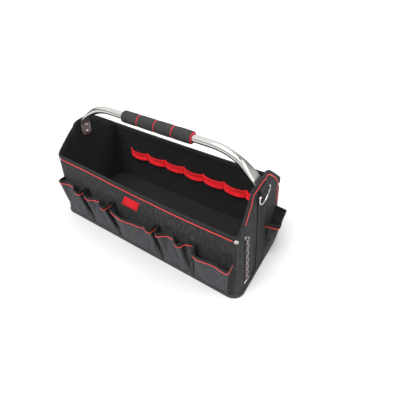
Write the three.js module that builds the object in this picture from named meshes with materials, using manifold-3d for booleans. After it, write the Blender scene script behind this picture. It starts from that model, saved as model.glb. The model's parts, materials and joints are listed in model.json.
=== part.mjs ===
// Open tool bag: padded canvas walls on a flat base, a steel tube handle with a foam grip,
// pleated front pockets, an end pocket, a row of elastic tool loops, end rings and a tape chain.
// Millimetres, +Z up, the front (pocket side) faces -Y, the base rests on Z = 0.
import * as THREE from "three";
import { mergeVertices } from "three/addons/utils/BufferGeometryUtils.js";
import Module from "manifold-3d";

const { lerp, clamp, smoothstep, degToRad } = THREE.MathUtils;

// Body
const PIECE_GAP = 0.3;
const WALL = 3;
const WALL_BOTTOM = 0.6;
const HALF_WIDTH = 101;
const BASE_HALF_LENGTH = 250;
const RIM_HALF_LENGTH = 243.5;
const PEAK_HALF_LENGTH = 241;
const RIM_HEIGHT = 170;
const FRONT_RIM = 166;
const FRONT_SAG = 6;
const PEAK_HEIGHT = 232;
const BASE_CORNER_RADIUS = 22;
const RIM_CORNER_RADIUS = 9;
const CORNER_TAPER = 1.5;
const RIGHT_TOP = { peak: 232, shoulder: 33 };
const LEFT_TOP = { peak: 228, shoulder: 25 };
const SHOULDER_ROUND = 10;
const SWAY = -7;
const FRONT_LEAN = 10;
const LEAN_FROM_X = 150;
const LEAN_FULL_X = -220;
const BASE_THICKNESS = 4;
const BINDING_HEIGHT = 7.6;
const BINDING_DEPTH = 3.2;
const BINDING_ROUND = 1.1;

// Pockets
const POCKET_CLOTH = 1.6;
const POCKET_BOTTOM = 8.3;
const POCKET_HEM = 111;
const SEAM_MARGIN = 3;
const FLARE_POWER = 1.15;

// Each row is one pocket: its seams along the wall, and the places where its hem bends, each as
// the position along the wall and how far the cloth stands off the wall there.
const FRONT_POCKETS = [
  { left: -238, right: -152,
    bends: [[-231, 18.5], [-207, 10.8], [-192, 11.8], [-164, 26.5], [-158.5, 24.5]] },
  { left: -152, right: -66,
    bends: [[-143, 23], [-130, 26], [-108, 17], [-98, 14.8], [-78, 29.5], [-72.5, 28]] },
  { left: -66, right: 63,
    bends: [[-58, 24], [-38, 28.8], [-14, 31], [20, 25], [40, 20.8], [51, 26], [56.5, 24.5]] },
  { left: 63, right: 146,
    bends: [[73, 24], [94, 10.8], [104, 10.8], [125, 24], [128.5, 22.5], [132, 8.5], [139, 6]] },
  { left: 146, right: 239,
    bends: [[155, 25], [168, 28.8], [208, 24.5], [226, 27.5], [231.2, 27.5], [234, 9]] },
];
const END_POCKET = { left: 11, right: 80, bends: [[21, 31], [36, 28], [56.5, 26], [70.3, 25]] };
const END_POCKET_HEM = 115;
const BEND_STEPS = [0, 0.35, 0.7];
const POCKET_ROWS = [0, 0.25, 0.5, 0.76, 1];

// Elastic tool loops on the inside of the back wall
const ELASTIC = 1.5;
const ELASTIC_BOTTOM = 83;
const ELASTIC_TOP = 105;
const LOOP_FROM_X = -192;
const LOOP_PITCH = 59.5;
const LOOP_COUNT = 7;
const LOOP_BULGE = 9;
const LOOP_STITCH = 2;
const LOOP_STEPS = 7;

// Handle and grip
const HANDLE_CENTRE_X = -8;
const HANDLE_HEIGHT = 267.5;
const HANDLE_STRAIGHT = 134;
const HANDLE_BEND_RADIUS = 125;
const HANDLE_BEND_END = 48;
const TUBE_RADIUS = 8;
const PLATE_HALF_WIDTH = 13.5;
const PLATE_HALF_THICKNESS = 2.5;
const PLATE_TOP = 214;
const PLATE_BOTTOM = 178;
const TUBE_SIDES = 18;
const GRIP_LEFT = -99;
const GRIP_RIGHT = 82.5;
const GRIP_RADIUS = 14;
const GRIP_ROUND = 3;
const GRIP_SEGMENTS = 4;
const GROOVE_HALF = 1.6;
const GROOVE_RADIUS = 12.4;
const RING_RADIUS = 14.2;
const RING_HALF = 1.2;
const ROUND_SIDES = 22;

// End webbing, rings and their tabs
const WEBBING = 1.6;
const WEBBING_CENTRE_Y = -7;
const WEBBING_WIDTH = 34;
const WEBBING_TOP = 221;
const WEBBING_ROWS = 6;
const RING_BAR_HEIGHT = 208;
const RING_STANDOFF = 7.8;
const RING_WIRE = 2;
const RING_HALF_WIDTH = 23;
const RING_DROP = 25;
const RING_BOW_STEPS = 18;
const RING_SIDES = 8;
const TAB_WIDTH = 32;
const TAB_HOLE = 2.45;
const TAB_OUTER = 4;
const TAB_TOP = 220;
const TAB_THICKNESS = 1.7;

// Tape chain on the right end
const CHAIN_Y = -73;
const CHAIN_TOP = 146;
const CHAIN_STANDOFF = 4.2;
const CHAIN_LINKS = 13;
const LINK_HALF_LENGTH = 5.2;
const LINK_HALF_WIDTH = 2.4;
const LINK_WIRE = 1;
const LINK_BITE = 0.2;
const LINK_STEPS = 10;
const LINK_SIDES = 5;
const ANCHOR_RADIUS = 4.5;
const ANCHOR_THICKNESS = 1.8;
const TOGGLE_HALF_LENGTH = 11;
const TOGGLE_RADIUS = 1.6;

// Rivets and label
const RIVET_RADIUS = 4.4;
const RIVET_HEIGHT = 2;
const RIM_RIVET_Z = 157;
const RIM_RIVET_TURN = { right: 58, left: 84 };
const BACK_RIVET_Y = 84;
const BACK_RIVET_Z = 163;
const PLATE_RIVET_RADIUS = 4;
const PLATE_RIVETS = [{ end: "upper", z: 207 }, { end: "lower", z: 190 }];
const LABEL = { left: -36, right: 7, bottom: 112.5, top: 136, slant: 10, thickness: 0.8, steps: 4 };

const FINISHES = {
  canvas: { color: 0x3b3b3d, roughness: 0.92, metalness: 0 },
  inner: { color: 0x2b2d2f, roughness: 0.94, metalness: 0 },
  pocket: { color: 0x55575b, roughness: 0.85, metalness: 0 },
  binding: { color: 0x1c1c1e, roughness: 0.8, metalness: 0 },
  webbing: { color: 0x2c2827, roughness: 0.85, metalness: 0 },
  elastic: { color: 0xd2202a, roughness: 0.75, metalness: 0 },
  label: { color: 0xd81e2b, roughness: 0.7, metalness: 0 },
  foam: { color: 0x3a3a39, roughness: 0.95, metalness: 0 },
  steel: { color: 0xd6d6d2, roughness: 0.22, metalness: 1 },
  nickel: { color: 0xcfcac4, roughness: 0.28, metalness: 1 },
};

const wasm = await Module();
wasm.setup();

// Plan shape of the walls
const halfLengthAt = (z) => (z < RIM_HEIGHT
  ? lerp(BASE_HALF_LENGTH, RIM_HALF_LENGTH, z / RIM_HEIGHT)
  : lerp(RIM_HALF_LENGTH, PEAK_HALF_LENGTH, (z - RIM_HEIGHT) / (PEAK_HEIGHT - RIM_HEIGHT)));
const swayAt = (z) => SWAY * (z / PEAK_HEIGHT) ** 2;
const endFaceAt = (end, z) => swayAt(z) + end * halfLengthAt(z);
const rimShare = (z) => clamp(z / RIM_HEIGHT, 0, 1);
const cornerRadiusAt = (z) => lerp(BASE_CORNER_RADIUS, RIM_CORNER_RADIUS, rimShare(z) ** CORNER_TAPER);
const leanAt = (x, z) => FRONT_LEAN * rimShare(z) * smoothstep(-x, -LEAN_FROM_X, -LEAN_FULL_X);
const cornerLean = (end, z) => (end < 0 ? FRONT_LEAN * rimShare(z) : 0);
const faceAt = (face, end, z) => face * HALF_WIDTH + (face < 0 ? cornerLean(end, z) : 0);

// A point on a rounded corner: turn 0 lies on the end face, a right angle on the long face.
function cornerPoint(end, face, z, turn, out) {
  const radius = cornerRadiusAt(z);
  const reach = radius + out;
  const x = endFaceAt(end, z) + end * (reach * Math.cos(turn) - radius);
  const y = faceAt(face, end, z) + face * (reach * Math.sin(turn) - radius);
  return new THREE.Vector3(x, y, z);
}

// A point on the front face, measured along the front and on around its corners.
function frontPoint(along, z, out) {
  const radius = cornerRadiusAt(z);
  const left = endFaceAt(-1, z) + radius;
  const right = endFaceAt(1, z) - radius;
  if (along < left) {
    return cornerPoint(-1, -1, z, Math.PI / 2 - (left - along) / radius, out);
  }
  if (along > right) {
    return cornerPoint(1, -1, z, Math.PI / 2 - (along - right) / radius, out);
  }
  return new THREE.Vector3(along, -HALF_WIDTH + leanAt(along, z) - out, z);
}

const endPoint = (end, y, z, out) => new THREE.Vector3(endFaceAt(end, z) + end * out, y, z);

// Closed meshes
function closedGeometry(points, triangles) {
  let volume = 0;
  for (const [a, b, c] of triangles) {
    volume += points[a].dot(new THREE.Vector3().crossVectors(points[b], points[c]));
  }
  const outward = volume > 0 ? triangles : triangles.map(([a, b, c]) => [a, c, b]);
  const geometry = new THREE.BufferGeometry();
  const numbers = points.flatMap((point) => point.toArray());
  geometry.setAttribute("position", new THREE.Float32BufferAttribute(numbers, 3));
  geometry.setIndex(outward.flat());
  geometry.computeVertexNormals();
  return geometry;
}

function addQuad(triangles, a, b, c, d) {
  triangles.push([a, b, c], [a, c, d]);
}

function sheetNormal(grid, j, i) {
  const row = grid[j];
  const across = row[Math.min(i + 1, row.length - 1)].clone().sub(row[Math.max(i - 1, 0)]);
  const up = grid[Math.min(j + 1, grid.length - 1)][i].clone().sub(grid[Math.max(j - 1, 0)][i]);
  return across.cross(up).normalize();
}

// A closed sheet between two equal grids of rows of points.
function sheetBetween(outer, inner) {
  const rows = outer.length;
  const columns = outer[0].length;
  const points = [...outer.flat(), ...inner.flat()];
  const at = (side, j, i) => (side * rows + j) * columns + i;
  const top = rows - 1;
  const end = columns - 1;
  const triangles = [];
  for (let j = 0; j < top; j += 1) {
    for (let i = 0; i < end; i += 1) {
      addQuad(triangles, at(0, j, i), at(0, j, i + 1), at(0, j + 1, i + 1), at(0, j + 1, i));
      addQuad(triangles, at(1, j, i), at(1, j + 1, i), at(1, j + 1, i + 1), at(1, j, i + 1));
    }
    addQuad(triangles, at(0, j, 0), at(0, j + 1, 0), at(1, j + 1, 0), at(1, j, 0));
    addQuad(triangles, at(1, j, end), at(1, j + 1, end), at(0, j + 1, end), at(0, j, end));
  }
  for (let i = 0; i < end; i += 1) {
    addQuad(triangles, at(1, 0, i), at(1, 0, i + 1), at(0, 0, i + 1), at(0, 0, i));
    addQuad(triangles, at(0, top, i), at(0, top, i + 1), at(1, top, i + 1), at(1, top, i));
  }
  return closedGeometry(points, triangles);
}

// A sheet of even thickness about one grid.
function thickSheet(grid, thickness) {
  const shifted = (share) => grid.map((row, j) => row.map((point, i) =>
    point.clone().addScaledVector(sheetNormal(grid, j, i), share * thickness)));
  return sheetBetween(shifted(0.5), shifted(-0.5));
}

// A skin over equal sections, closed into a loop or capped at both ends.
function loft(sections, isLoop) {
  const sides = sections[0].length;
  const count = sections.length;
  const points = sections.flat();
  const at = (j, i) => (j % count) * sides + (i % sides);
  const triangles = [];
  for (let j = 0; j < (isLoop ? count : count - 1); j += 1) {
    for (let i = 0; i < sides; i += 1) {
      addQuad(triangles, at(j, i), at(j, i + 1), at(j + 1, i + 1), at(j + 1, i));
    }
  }
  if (!isLoop) {
    const addCap = (j, flip) => {
      const middle = new THREE.Vector3();
      sections[j].forEach((point) => middle.addScaledVector(point, 1 / sides));
      const hub = points.push(middle) - 1;
      for (let i = 0; i < sides; i += 1) {
        triangles.push(flip ? [hub, at(j, i), at(j, i + 1)] : [hub, at(j, i + 1), at(j, i)]);
      }
    };
    addCap(0, false);
    addCap(count - 1, true);
  }
  return closedGeometry(points, triangles);
}

// An oval section about a centre; a squareness under 1 makes its sides flatter.
function ovalSection(centre, across, outward, halfAcross, halfOutward, sides, squareness = 1) {
  return Array.from({ length: sides }, (_, i) => {
    const angle = ((i + 0.5) / sides) * 2 * Math.PI;
    const u = Math.sign(Math.cos(angle)) * Math.abs(Math.cos(angle)) ** squareness;
    const v = Math.sign(Math.sin(angle)) * Math.abs(Math.sin(angle)) ** squareness;
    return centre.clone().addScaledVector(across, u * halfAcross).addScaledVector(outward, v * halfOutward);
  });
}

// Round wire bent along a flat closed path.
function wireLoop(path, planeNormal, radius, sides) {
  const count = path.length;
  const sections = path.map((point, j) => {
    const ahead = path[(j + 1) % count].clone().sub(path[(j + count - 1) % count]).normalize();
    const outward = new THREE.Vector3().crossVectors(ahead, planeNormal);
    return ovalSection(point, planeNormal, outward, radius, radius, sides);
  });
  return loft(sections, true);
}

// A body turned about an axis, from rows of radius and distance along the axis.
function turned(profile, base, axis, sides) {
  const outline = profile.map(({ radius, along }) => new THREE.Vector2(radius, along));
  const geometry = new THREE.LatheGeometry(outline, sides);
  geometry.deleteAttribute("normal");
  geometry.deleteAttribute("uv");
  const turn = new THREE.Quaternion().setFromUnitVectors(new THREE.Vector3(0, 1, 0), axis);
  geometry.applyQuaternion(turn);
  geometry.translate(base.x, base.y, base.z);
  const merged = mergeVertices(geometry, 1e-4);
  const position = merged.getAttribute("position");
  const points = Array.from({ length: position.count }, (_, i) =>
    new THREE.Vector3().fromBufferAttribute(position, i));
  const corners = Array.from(merged.getIndex().array);
  const triangles = [];
  for (let i = 0; i < corners.length; i += 3) {
    const [a, b, c] = corners.slice(i, i + 3);
    if (a !== b && b !== c && c !== a) {
      triangles.push([a, b, c]);
    }
  }
  return closedGeometry(points, triangles);
}

function toManifold(geometry) {
  const bare = geometry.clone();
  bare.deleteAttribute("normal");
  bare.deleteAttribute("uv");
  const merged = mergeVertices(bare, 1e-4);
  return new wasm.Manifold(new wasm.Mesh({
    numProp: 3,
    vertProperties: new Float32Array(merged.getAttribute("position").array),
    triVerts: new Uint32Array(merged.getIndex().array),
  }));
}

function fused(geometries) {
  const whole = geometries.map(toManifold).reduce((sum, piece) => sum.add(piece));
  const mesh = whole.getMesh();
  const geometry = new THREE.BufferGeometry();
  geometry.setAttribute("position", new THREE.Float32BufferAttribute(mesh.vertProperties, mesh.numProp));
  geometry.setIndex(Array.from(mesh.triVerts));
  geometry.computeVertexNormals();
  return geometry;
}

// The node tree
const bag = new THREE.Group();
bag.name = "tool_bag";

function addPiece(name, geometry, finish) {
  const mesh = new THREE.Mesh(geometry, new THREE.MeshStandardMaterial(FINISHES[finish]));
  mesh.name = name;
  bag.add(mesh);
}

// Walls
const QUARTER = Math.PI / 4;
const CORNER_STEPS = 3;
const LONG_STEPS = 13;
const LONG_ROWS = [0, 0.22, 0.48, 0.72, 0.88, 1];
const END_ROWS = [0, 0.22, 0.46, 0.66, 0.8, 0.91, 1];
const END_STEPS = 12;
const seamTurn = (z) => PIECE_GAP / 2 / cornerRadiusAt(z);

const rimAt = (face) => (face < 0 ? FRONT_RIM : RIM_HEIGHT);
const sagAt = (face, along) => (face < 0 ? FRONT_SAG * 4 * along * (1 - along) : 0);

// The front wall's rim sags between its corners.
function longWallGrid(face, out) {
  return LONG_ROWS.map((share) => {
    const z = lerp(WALL_BOTTOM, rimAt(face), share);
    const first = QUARTER + seamTurn(z);
    const row = [];
    for (let i = 0; i < CORNER_STEPS; i += 1) {
      row.push(cornerPoint(-1, face, z, lerp(first, 2 * QUARTER, i / CORNER_STEPS), out));
    }
    for (let i = 0; i <= LONG_STEPS; i += 1) {
      const along = i / LONG_STEPS;
      const height = z - sagAt(face, along) * share;
      const left = cornerPoint(-1, face, height, 2 * QUARTER, out).x;
      const right = cornerPoint(1, face, height, 2 * QUARTER, out).x;
      const x = lerp(left, right, along);
      const lean = face < 0 ? leanAt(x, height) : 0;
      row.push(new THREE.Vector3(x, face * (HALF_WIDTH + out) + lean, height));
    }
    for (let i = 1; i <= CORNER_STEPS; i += 1) {
      row.push(cornerPoint(1, face, z, lerp(2 * QUARTER, first, i / CORNER_STEPS), out));
    }
    return row;
  });
}

// Each end's top slopes from its shoulders to the rims of the long walls.
function endTopAt(end, y) {
  const { peak, shoulder } = end > 0 ? RIGHT_TOP : LEFT_TOP;
  const face = Math.sign(y) || 1;
  const slope = (peak - rimAt(face)) / (Math.abs(faceAt(face, end, RIM_HEIGHT)) - shoulder);
  const beyond = Math.abs(y) - shoulder;
  const drop = (slope * (beyond + Math.hypot(beyond, SHOULDER_ROUND))) / 2;
  return Math.max(peak - drop, rimAt(face));
}

// One column of an end wall: which corner it lies on and its turn, or its share of the flat.
function endColumns() {
  const columns = [];
  for (let i = 0; i < CORNER_STEPS; i += 1) {
    columns.push({ face: -1, share: 1 - i / CORNER_STEPS });
  }
  for (let i = 0; i <= END_STEPS; i += 1) {
    columns.push({ face: 0, share: i / END_STEPS });
  }
  for (let i = 1; i <= CORNER_STEPS; i += 1) {
    columns.push({ face: 1, share: i / CORNER_STEPS });
  }
  return columns;
}

function endWallPoint(end, column, z, out) {
  if (column.face !== 0) {
    const turn = (QUARTER - seamTurn(z)) * column.share;
    return cornerPoint(end, column.face, z, turn, out);
  }
  const front = cornerPoint(end, -1, z, 0, out);
  const back = cornerPoint(end, 1, z, 0, out);
  return front.lerp(back, column.share);
}

function endWallGrid(end, out) {
  const columns = endColumns();
  return END_ROWS.map((share) => columns.map((column) => {
    const top = endTopAt(end, endWallPoint(end, column, RIM_HEIGHT, 0).y);
    return endWallPoint(end, column, lerp(WALL_BOTTOM, top, share), out);
  }));
}

const longWall = (face) => sheetBetween(longWallGrid(face, 0), longWallGrid(face, -WALL));
const endWall = (end) => sheetBetween(endWallGrid(end, 0), endWallGrid(end, -WALL));
addPiece("front_wall", longWall(-1), "canvas");
addPiece("back_wall", longWall(1), "inner");
addPiece("end_wall_right", endWall(1), "canvas");
addPiece("end_wall_left", endWall(-1), "canvas");

// Base and its edge binding
function roundedPlan(grow, steps) {
  const outline = [];
  const corners = [
    { end: 1, face: 1, from: 0, to: 2 * QUARTER },
    { end: -1, face: 1, from: 2 * QUARTER, to: 0 },
    { end: -1, face: -1, from: 0, to: 2 * QUARTER },
    { end: 1, face: -1, from: 2 * QUARTER, to: 0 },
  ];
  for (const { end, face, from, to } of corners) {
    for (let i = 0; i <= steps; i += 1) {
      outline.push(cornerPoint(end, face, 0, lerp(from, to, i / steps), grow));
    }
  }
  return outline;
}

const BASE_INSET = WALL + PIECE_GAP + 0.3;
const BASE_CORNER_STEPS = 5;
const baseShape = new THREE.Shape(roundedPlan(-BASE_INSET, BASE_CORNER_STEPS)
  .map((point) => new THREE.Vector2(point.x, point.y)));
addPiece("base_panel", new THREE.ExtrudeGeometry(baseShape, {
  depth: BASE_THICKNESS, bevelEnabled: false, steps: 1,
}), "binding");

const bindingProfile = [
  { out: PIECE_GAP, z: 0 },
  { out: BINDING_DEPTH - BINDING_ROUND, z: 0 },
  { out: BINDING_DEPTH, z: BINDING_ROUND },
  { out: BINDING_DEPTH, z: BINDING_HEIGHT - 2 * BINDING_ROUND },
  { out: BINDING_DEPTH - BINDING_ROUND, z: BINDING_HEIGHT },
  { out: PIECE_GAP, z: BINDING_HEIGHT },
];
const bindingRings = bindingProfile.map(({ out, z }) =>
  roundedPlan(out, BASE_CORNER_STEPS).map((point) => point.setZ(z)));
addPiece("base_binding", loft(bindingRings[0].map((_, j) => bindingRings.map((ring) => ring[j])), true),
  "binding");

// Pockets
function easedProfile(knots, along) {
  const next = knots.findIndex((knot) => knot.along >= along);
  if (next <= 0) {
    return knots[Math.max(next, 0)].off;
  }
  const before = knots[next - 1];
  const after = knots[next];
  return lerp(before.off, after.off, smoothstep(along, before.along, after.along));
}

// Grid of a pocket's cloth; pointAt places it from position along, height and stand-off.
function pocketGrid(pocket, hem, pointAt) {
  const knots = [
    { along: pocket.left + SEAM_MARGIN, off: 0 },
    ...pocket.bends.map(([along, off]) => ({ along, off })),
    { along: pocket.right - SEAM_MARGIN, off: 0 },
  ];
  const columns = [pocket.left + PIECE_GAP];
  for (let i = 1; i < knots.length; i += 1) {
    columns.push(...BEND_STEPS.map((share) => lerp(knots[i - 1].along, knots[i].along, share)));
  }
  columns.push(pocket.right - SEAM_MARGIN, pocket.right - PIECE_GAP);
  return POCKET_ROWS.map((share) => {
    const z = lerp(POCKET_BOTTOM, hem, share);
    return columns.map((along) => {
      const off = easedProfile(knots, along) * share ** FLARE_POWER;
      return pointAt(along, z, off + PIECE_GAP + POCKET_CLOTH / 2);
    });
  });
}

FRONT_POCKETS.forEach((pocket, index) => {
  const grid = pocketGrid(pocket, POCKET_HEM, frontPoint);
  addPiece(`front_pocket_${index + 1}`, thickSheet(grid, POCKET_CLOTH), "pocket");
});
const endPocketGrid = pocketGrid(END_POCKET, END_POCKET_HEM, (y, z, out) => endPoint(1, y, z, out));
addPiece("end_pocket", thickSheet(endPocketGrid, POCKET_CLOTH), "canvas");

// Elastic loops
function loopBand() {
  const xs = [];
  const offs = [];
  for (let loop = 0; loop < LOOP_COUNT; loop += 1) {
    const start = LOOP_FROM_X + loop * LOOP_PITCH;
    for (let step = loop === 0 ? 0 : 1; step <= LOOP_STEPS; step += 1) {
      const share = step / LOOP_STEPS;
      const isSewn = step === 0 || step === LOOP_STEPS;
      xs.push(start + share * LOOP_PITCH);
      offs.push(isSewn ? 0 : LOOP_BULGE * Math.sqrt(Math.sin(Math.PI * share)));
    }
  }
  xs.unshift(xs[0] - LOOP_STITCH);
  offs.unshift(0);
  xs.push(xs[xs.length - 1] + LOOP_STITCH);
  offs.push(0);
  const face = HALF_WIDTH - WALL - PIECE_GAP - ELASTIC / 2;
  return [ELASTIC_BOTTOM, ELASTIC_TOP].map((z) =>
    xs.map((x, i) => new THREE.Vector3(x, face - offs[i], z)));
}
addPiece("tool_loop_band", thickSheet(loopBand(), ELASTIC), "elastic");

// Handle
const plateInset = WALL + PIECE_GAP + PLATE_HALF_THICKNESS;

// Half of the handle's path from its middle to the foot of one plate, with how flat it is.
function handleHalf(end) {
  const bendStart = HANDLE_CENTRE_X + end * HANDLE_STRAIGHT;
  const stops = [{ x: HANDLE_CENTRE_X + end * 40, z: HANDLE_HEIGHT, flat: 0 }];
  for (const degrees of [0, 8, 16, 24, 31, 37, 43, HANDLE_BEND_END]) {
    const turn = degToRad(degrees);
    stops.push({
      x: bendStart + end * HANDLE_BEND_RADIUS * Math.sin(turn),
      z: HANDLE_HEIGHT - HANDLE_BEND_RADIUS * (1 - Math.cos(turn)),
      flat: smoothstep(degrees, 24, HANDLE_BEND_END),
    });
  }
  for (const z of [PLATE_TOP, lerp(PLATE_TOP, PLATE_BOTTOM, 0.5), PLATE_BOTTOM]) {
    stops.push({ x: endFaceAt(end, z) - end * plateInset, z, flat: 1 });
  }
  return stops;
}

const PLATE_SQUARENESS = 0.45;
function handleTube() {
  const path = [...handleHalf(-1).reverse(), ...handleHalf(1)];
  const across = new THREE.Vector3(0, 1, 0);
  const sections = path.map(({ x, z, flat }, j) => {
    const before = path[Math.max(j - 1, 0)];
    const after = path[Math.min(j + 1, path.length - 1)];
    const ahead = new THREE.Vector3(after.x - before.x, 0, after.z - before.z).normalize();
    const outward = new THREE.Vector3().crossVectors(across, ahead);
    return ovalSection(new THREE.Vector3(x, 0, z), across, outward,
      lerp(TUBE_RADIUS, PLATE_HALF_WIDTH, flat), lerp(TUBE_RADIUS, PLATE_HALF_THICKNESS, flat),
      TUBE_SIDES, lerp(1, PLATE_SQUARENESS, flat));
  });
  return loft(sections, false);
}
addPiece("handle_tube", handleTube(), "steel");

// Foam grip with grooves for the rings
const ALONG_X = new THREE.Vector3(1, 0, 0);
const gripStart = new THREE.Vector3(GRIP_LEFT, 0, HANDLE_HEIGHT);
const gripLength = GRIP_RIGHT - GRIP_LEFT;
const gripBore = TUBE_RADIUS + PIECE_GAP;
const grooves = Array.from({ length: GRIP_SEGMENTS - 1 }, (_, i) => ((i + 1) * gripLength) / GRIP_SEGMENTS);
const endRingWidth = 2 * RING_HALF + PIECE_GAP;
const gripProfile = [
  { radius: gripBore, along: 0 },
  { radius: GRIP_RADIUS - GRIP_ROUND, along: 0 },
  { radius: GRIP_RADIUS - 0.3 * GRIP_ROUND, along: 0.3 * GRIP_ROUND },
  { radius: GRIP_RADIUS, along: GRIP_ROUND },
  ...grooves.flatMap((middle) => [
    { radius: GRIP_RADIUS, along: middle - GROOVE_HALF },
    { radius: GROOVE_RADIUS, along: middle - GROOVE_HALF },
    { radius: GROOVE_RADIUS, along: middle + GROOVE_HALF },
    { radius: GRIP_RADIUS, along: middle + GROOVE_HALF },
  ]),
  { radius: GRIP_RADIUS, along: gripLength - endRingWidth },
  { radius: gripBore, along: gripLength - endRingWidth },
  { radius: gripBore, along: 0 },
];
addPiece("foam_grip", turned(gripProfile, gripStart, ALONG_X, ROUND_SIDES), "foam");

function ringProfile(middle, inner) {
  return [
    { radius: inner, along: middle - RING_HALF },
    { radius: RING_RADIUS, along: middle - RING_HALF },
    { radius: RING_RADIUS, along: middle + RING_HALF },
    { radius: inner, along: middle + RING_HALF },
    { radius: inner, along: middle - RING_HALF },
  ];
}
grooves.forEach((middle, index) => {
  const profile = ringProfile(middle, GROOVE_RADIUS + PIECE_GAP);
  addPiece(`grip_ring_${index + 1}`, turned(profile, gripStart, ALONG_X, ROUND_SIDES), "elastic");
});
addPiece("grip_ring_end", turned(ringProfile(gripLength - RING_HALF, gripBore), gripStart, ALONG_X,
  ROUND_SIDES), "elastic");

// Webbing, tabs and rings on both ends
function endWebbing(end) {
  const grid = Array.from({ length: WEBBING_ROWS + 1 }, (_, j) => {
    const z = lerp(POCKET_BOTTOM, WEBBING_TOP, j / WEBBING_ROWS);
    return [-0.5, 0.5].map((share) =>
      endPoint(end, WEBBING_CENTRE_Y + share * WEBBING_WIDTH, z, PIECE_GAP + WEBBING / 2));
  });
  return thickSheet(grid, WEBBING);
}

const barX = (end) => endFaceAt(end, RING_BAR_HEIGHT) + end * RING_STANDOFF;

function ringTab(end) {
  const outline = [];
  const tabSteps = 10;
  for (let i = 0; i <= tabSteps; i += 1) {
    const angle = degToRad(lerp(100, -165, i / tabSteps));
    outline.push(new THREE.Vector2(RING_STANDOFF + TAB_OUTER * Math.cos(angle),
      RING_BAR_HEIGHT + TAB_OUTER * Math.sin(angle)));
  }
  const topShift = end * (endFaceAt(end, TAB_TOP) - endFaceAt(end, RING_BAR_HEIGHT));
  const tailInner = PIECE_GAP + WEBBING + PIECE_GAP + topShift;
  outline.push(new THREE.Vector2(tailInner, TAB_TOP));
  outline.push(new THREE.Vector2(tailInner + TAB_THICKNESS, TAB_TOP));
  const shape = new THREE.Shape(outline);
  const hole = new THREE.Path();
  hole.absarc(RING_STANDOFF, RING_BAR_HEIGHT, TAB_HOLE, 0, 2 * Math.PI, false);
  shape.holes.push(hole);
  const geometry = new THREE.ExtrudeGeometry(shape, {
    depth: TAB_WIDTH, bevelEnabled: false, steps: 1, curveSegments: 6,
  });
  geometry.rotateX(Math.PI / 2);
  geometry.translate(0, WEBBING_CENTRE_Y + TAB_WIDTH / 2, 0);
  if (end < 0) {
    geometry.rotateZ(Math.PI);
    geometry.translate(0, 2 * WEBBING_CENTRE_Y, 0);
  }
  geometry.translate(endFaceAt(end, RING_BAR_HEIGHT), 0, 0);
  return geometry;
}

function dRing(end) {
  const path = [];
  for (let i = 0; i <= RING_BOW_STEPS; i += 1) {
    const angle = (i / RING_BOW_STEPS) * Math.PI;
    path.push(new THREE.Vector3(barX(end), WEBBING_CENTRE_Y - RING_HALF_WIDTH * Math.cos(angle),
      RING_BAR_HEIGHT - RING_DROP * Math.sin(angle) ** 0.8));
  }
  return wireLoop(path, new THREE.Vector3(1, 0, 0), RING_WIRE, RING_SIDES);
}

for (const { side, end } of [{ side: "right", end: 1 }, { side: "left", end: -1 }]) {
  addPiece(`end_webbing_${side}`, endWebbing(end), "webbing");
  addPiece(`ring_tab_${side}`, ringTab(end), "webbing");
  addPiece(`d_ring_${side}`, dRing(end), "nickel");
}

// Rivets
function rivet(base, axis, radius) {
  const profile = [
    { radius: 0, along: 0 },
    { radius, along: 0 },
    { radius, along: 0.35 * RIVET_HEIGHT },
    { radius: 0.75 * radius, along: 0.8 * RIVET_HEIGHT },
    { radius: 0, along: RIVET_HEIGHT },
  ];
  return turned(profile, base, axis, 12);
}

for (const { side, end } of [{ side: "right", end: 1 }, { side: "left", end: -1 }]) {
  const turn = degToRad(RIM_RIVET_TURN[side]);
  const frontAxis = new THREE.Vector3(end * Math.cos(turn), -Math.sin(turn), 0);
  const frontBase = cornerPoint(end, -1, RIM_RIVET_Z, turn, PIECE_GAP);
  addPiece(`rim_rivet_front_${side}`, rivet(frontBase, frontAxis, RIVET_RADIUS), "nickel");
  const outwards = new THREE.Vector3(end, 0, 0);
  addPiece(`rim_rivet_back_${side}`, rivet(endPoint(end, BACK_RIVET_Y, BACK_RIVET_Z, 2 * PIECE_GAP),
    outwards, RIVET_RADIUS), "nickel");
  for (const { end: place, z } of PLATE_RIVETS) {
    const inwards = new THREE.Vector3(-end, 0, 0);
    const reach = -(plateInset + PLATE_HALF_THICKNESS + 2 * PIECE_GAP);
    addPiece(`plate_rivet_${side}_${place}`, rivet(endPoint(end, 0, z, reach), inwards, PLATE_RIVET_RADIUS),
      "nickel");
  }
}

// Label
const labelGrid = [LABEL.bottom, LABEL.top].map((z, j) =>
  Array.from({ length: LABEL.steps + 1 }, (_, i) => {
    const along = lerp(LABEL.left, LABEL.right, i / LABEL.steps) + (j - 0.5) * LABEL.slant;
    return frontPoint(along, z, PIECE_GAP + LABEL.thickness / 2);
  }));
addPiece("label_patch", thickSheet(labelGrid, LABEL.thickness), "label");

// Tape chain: an anchor stud, linked ovals turned a quarter each, and a toggle bar
function chainLink(centre, axis, side) {
  const path = [];
  for (let i = 0; i < LINK_STEPS; i += 1) {
    const angle = (i / LINK_STEPS) * 2 * Math.PI;
    const straight = LINK_HALF_LENGTH - LINK_HALF_WIDTH;
    const along = LINK_HALF_WIDTH * Math.cos(angle) + Math.sign(Math.cos(angle)) * straight;
    path.push(centre.clone().addScaledVector(axis, along)
      .addScaledVector(side, LINK_HALF_WIDTH * Math.sin(angle)));
  }
  return wireLoop(path, new THREE.Vector3().crossVectors(axis, side), LINK_WIRE, LINK_SIDES);
}

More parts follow.
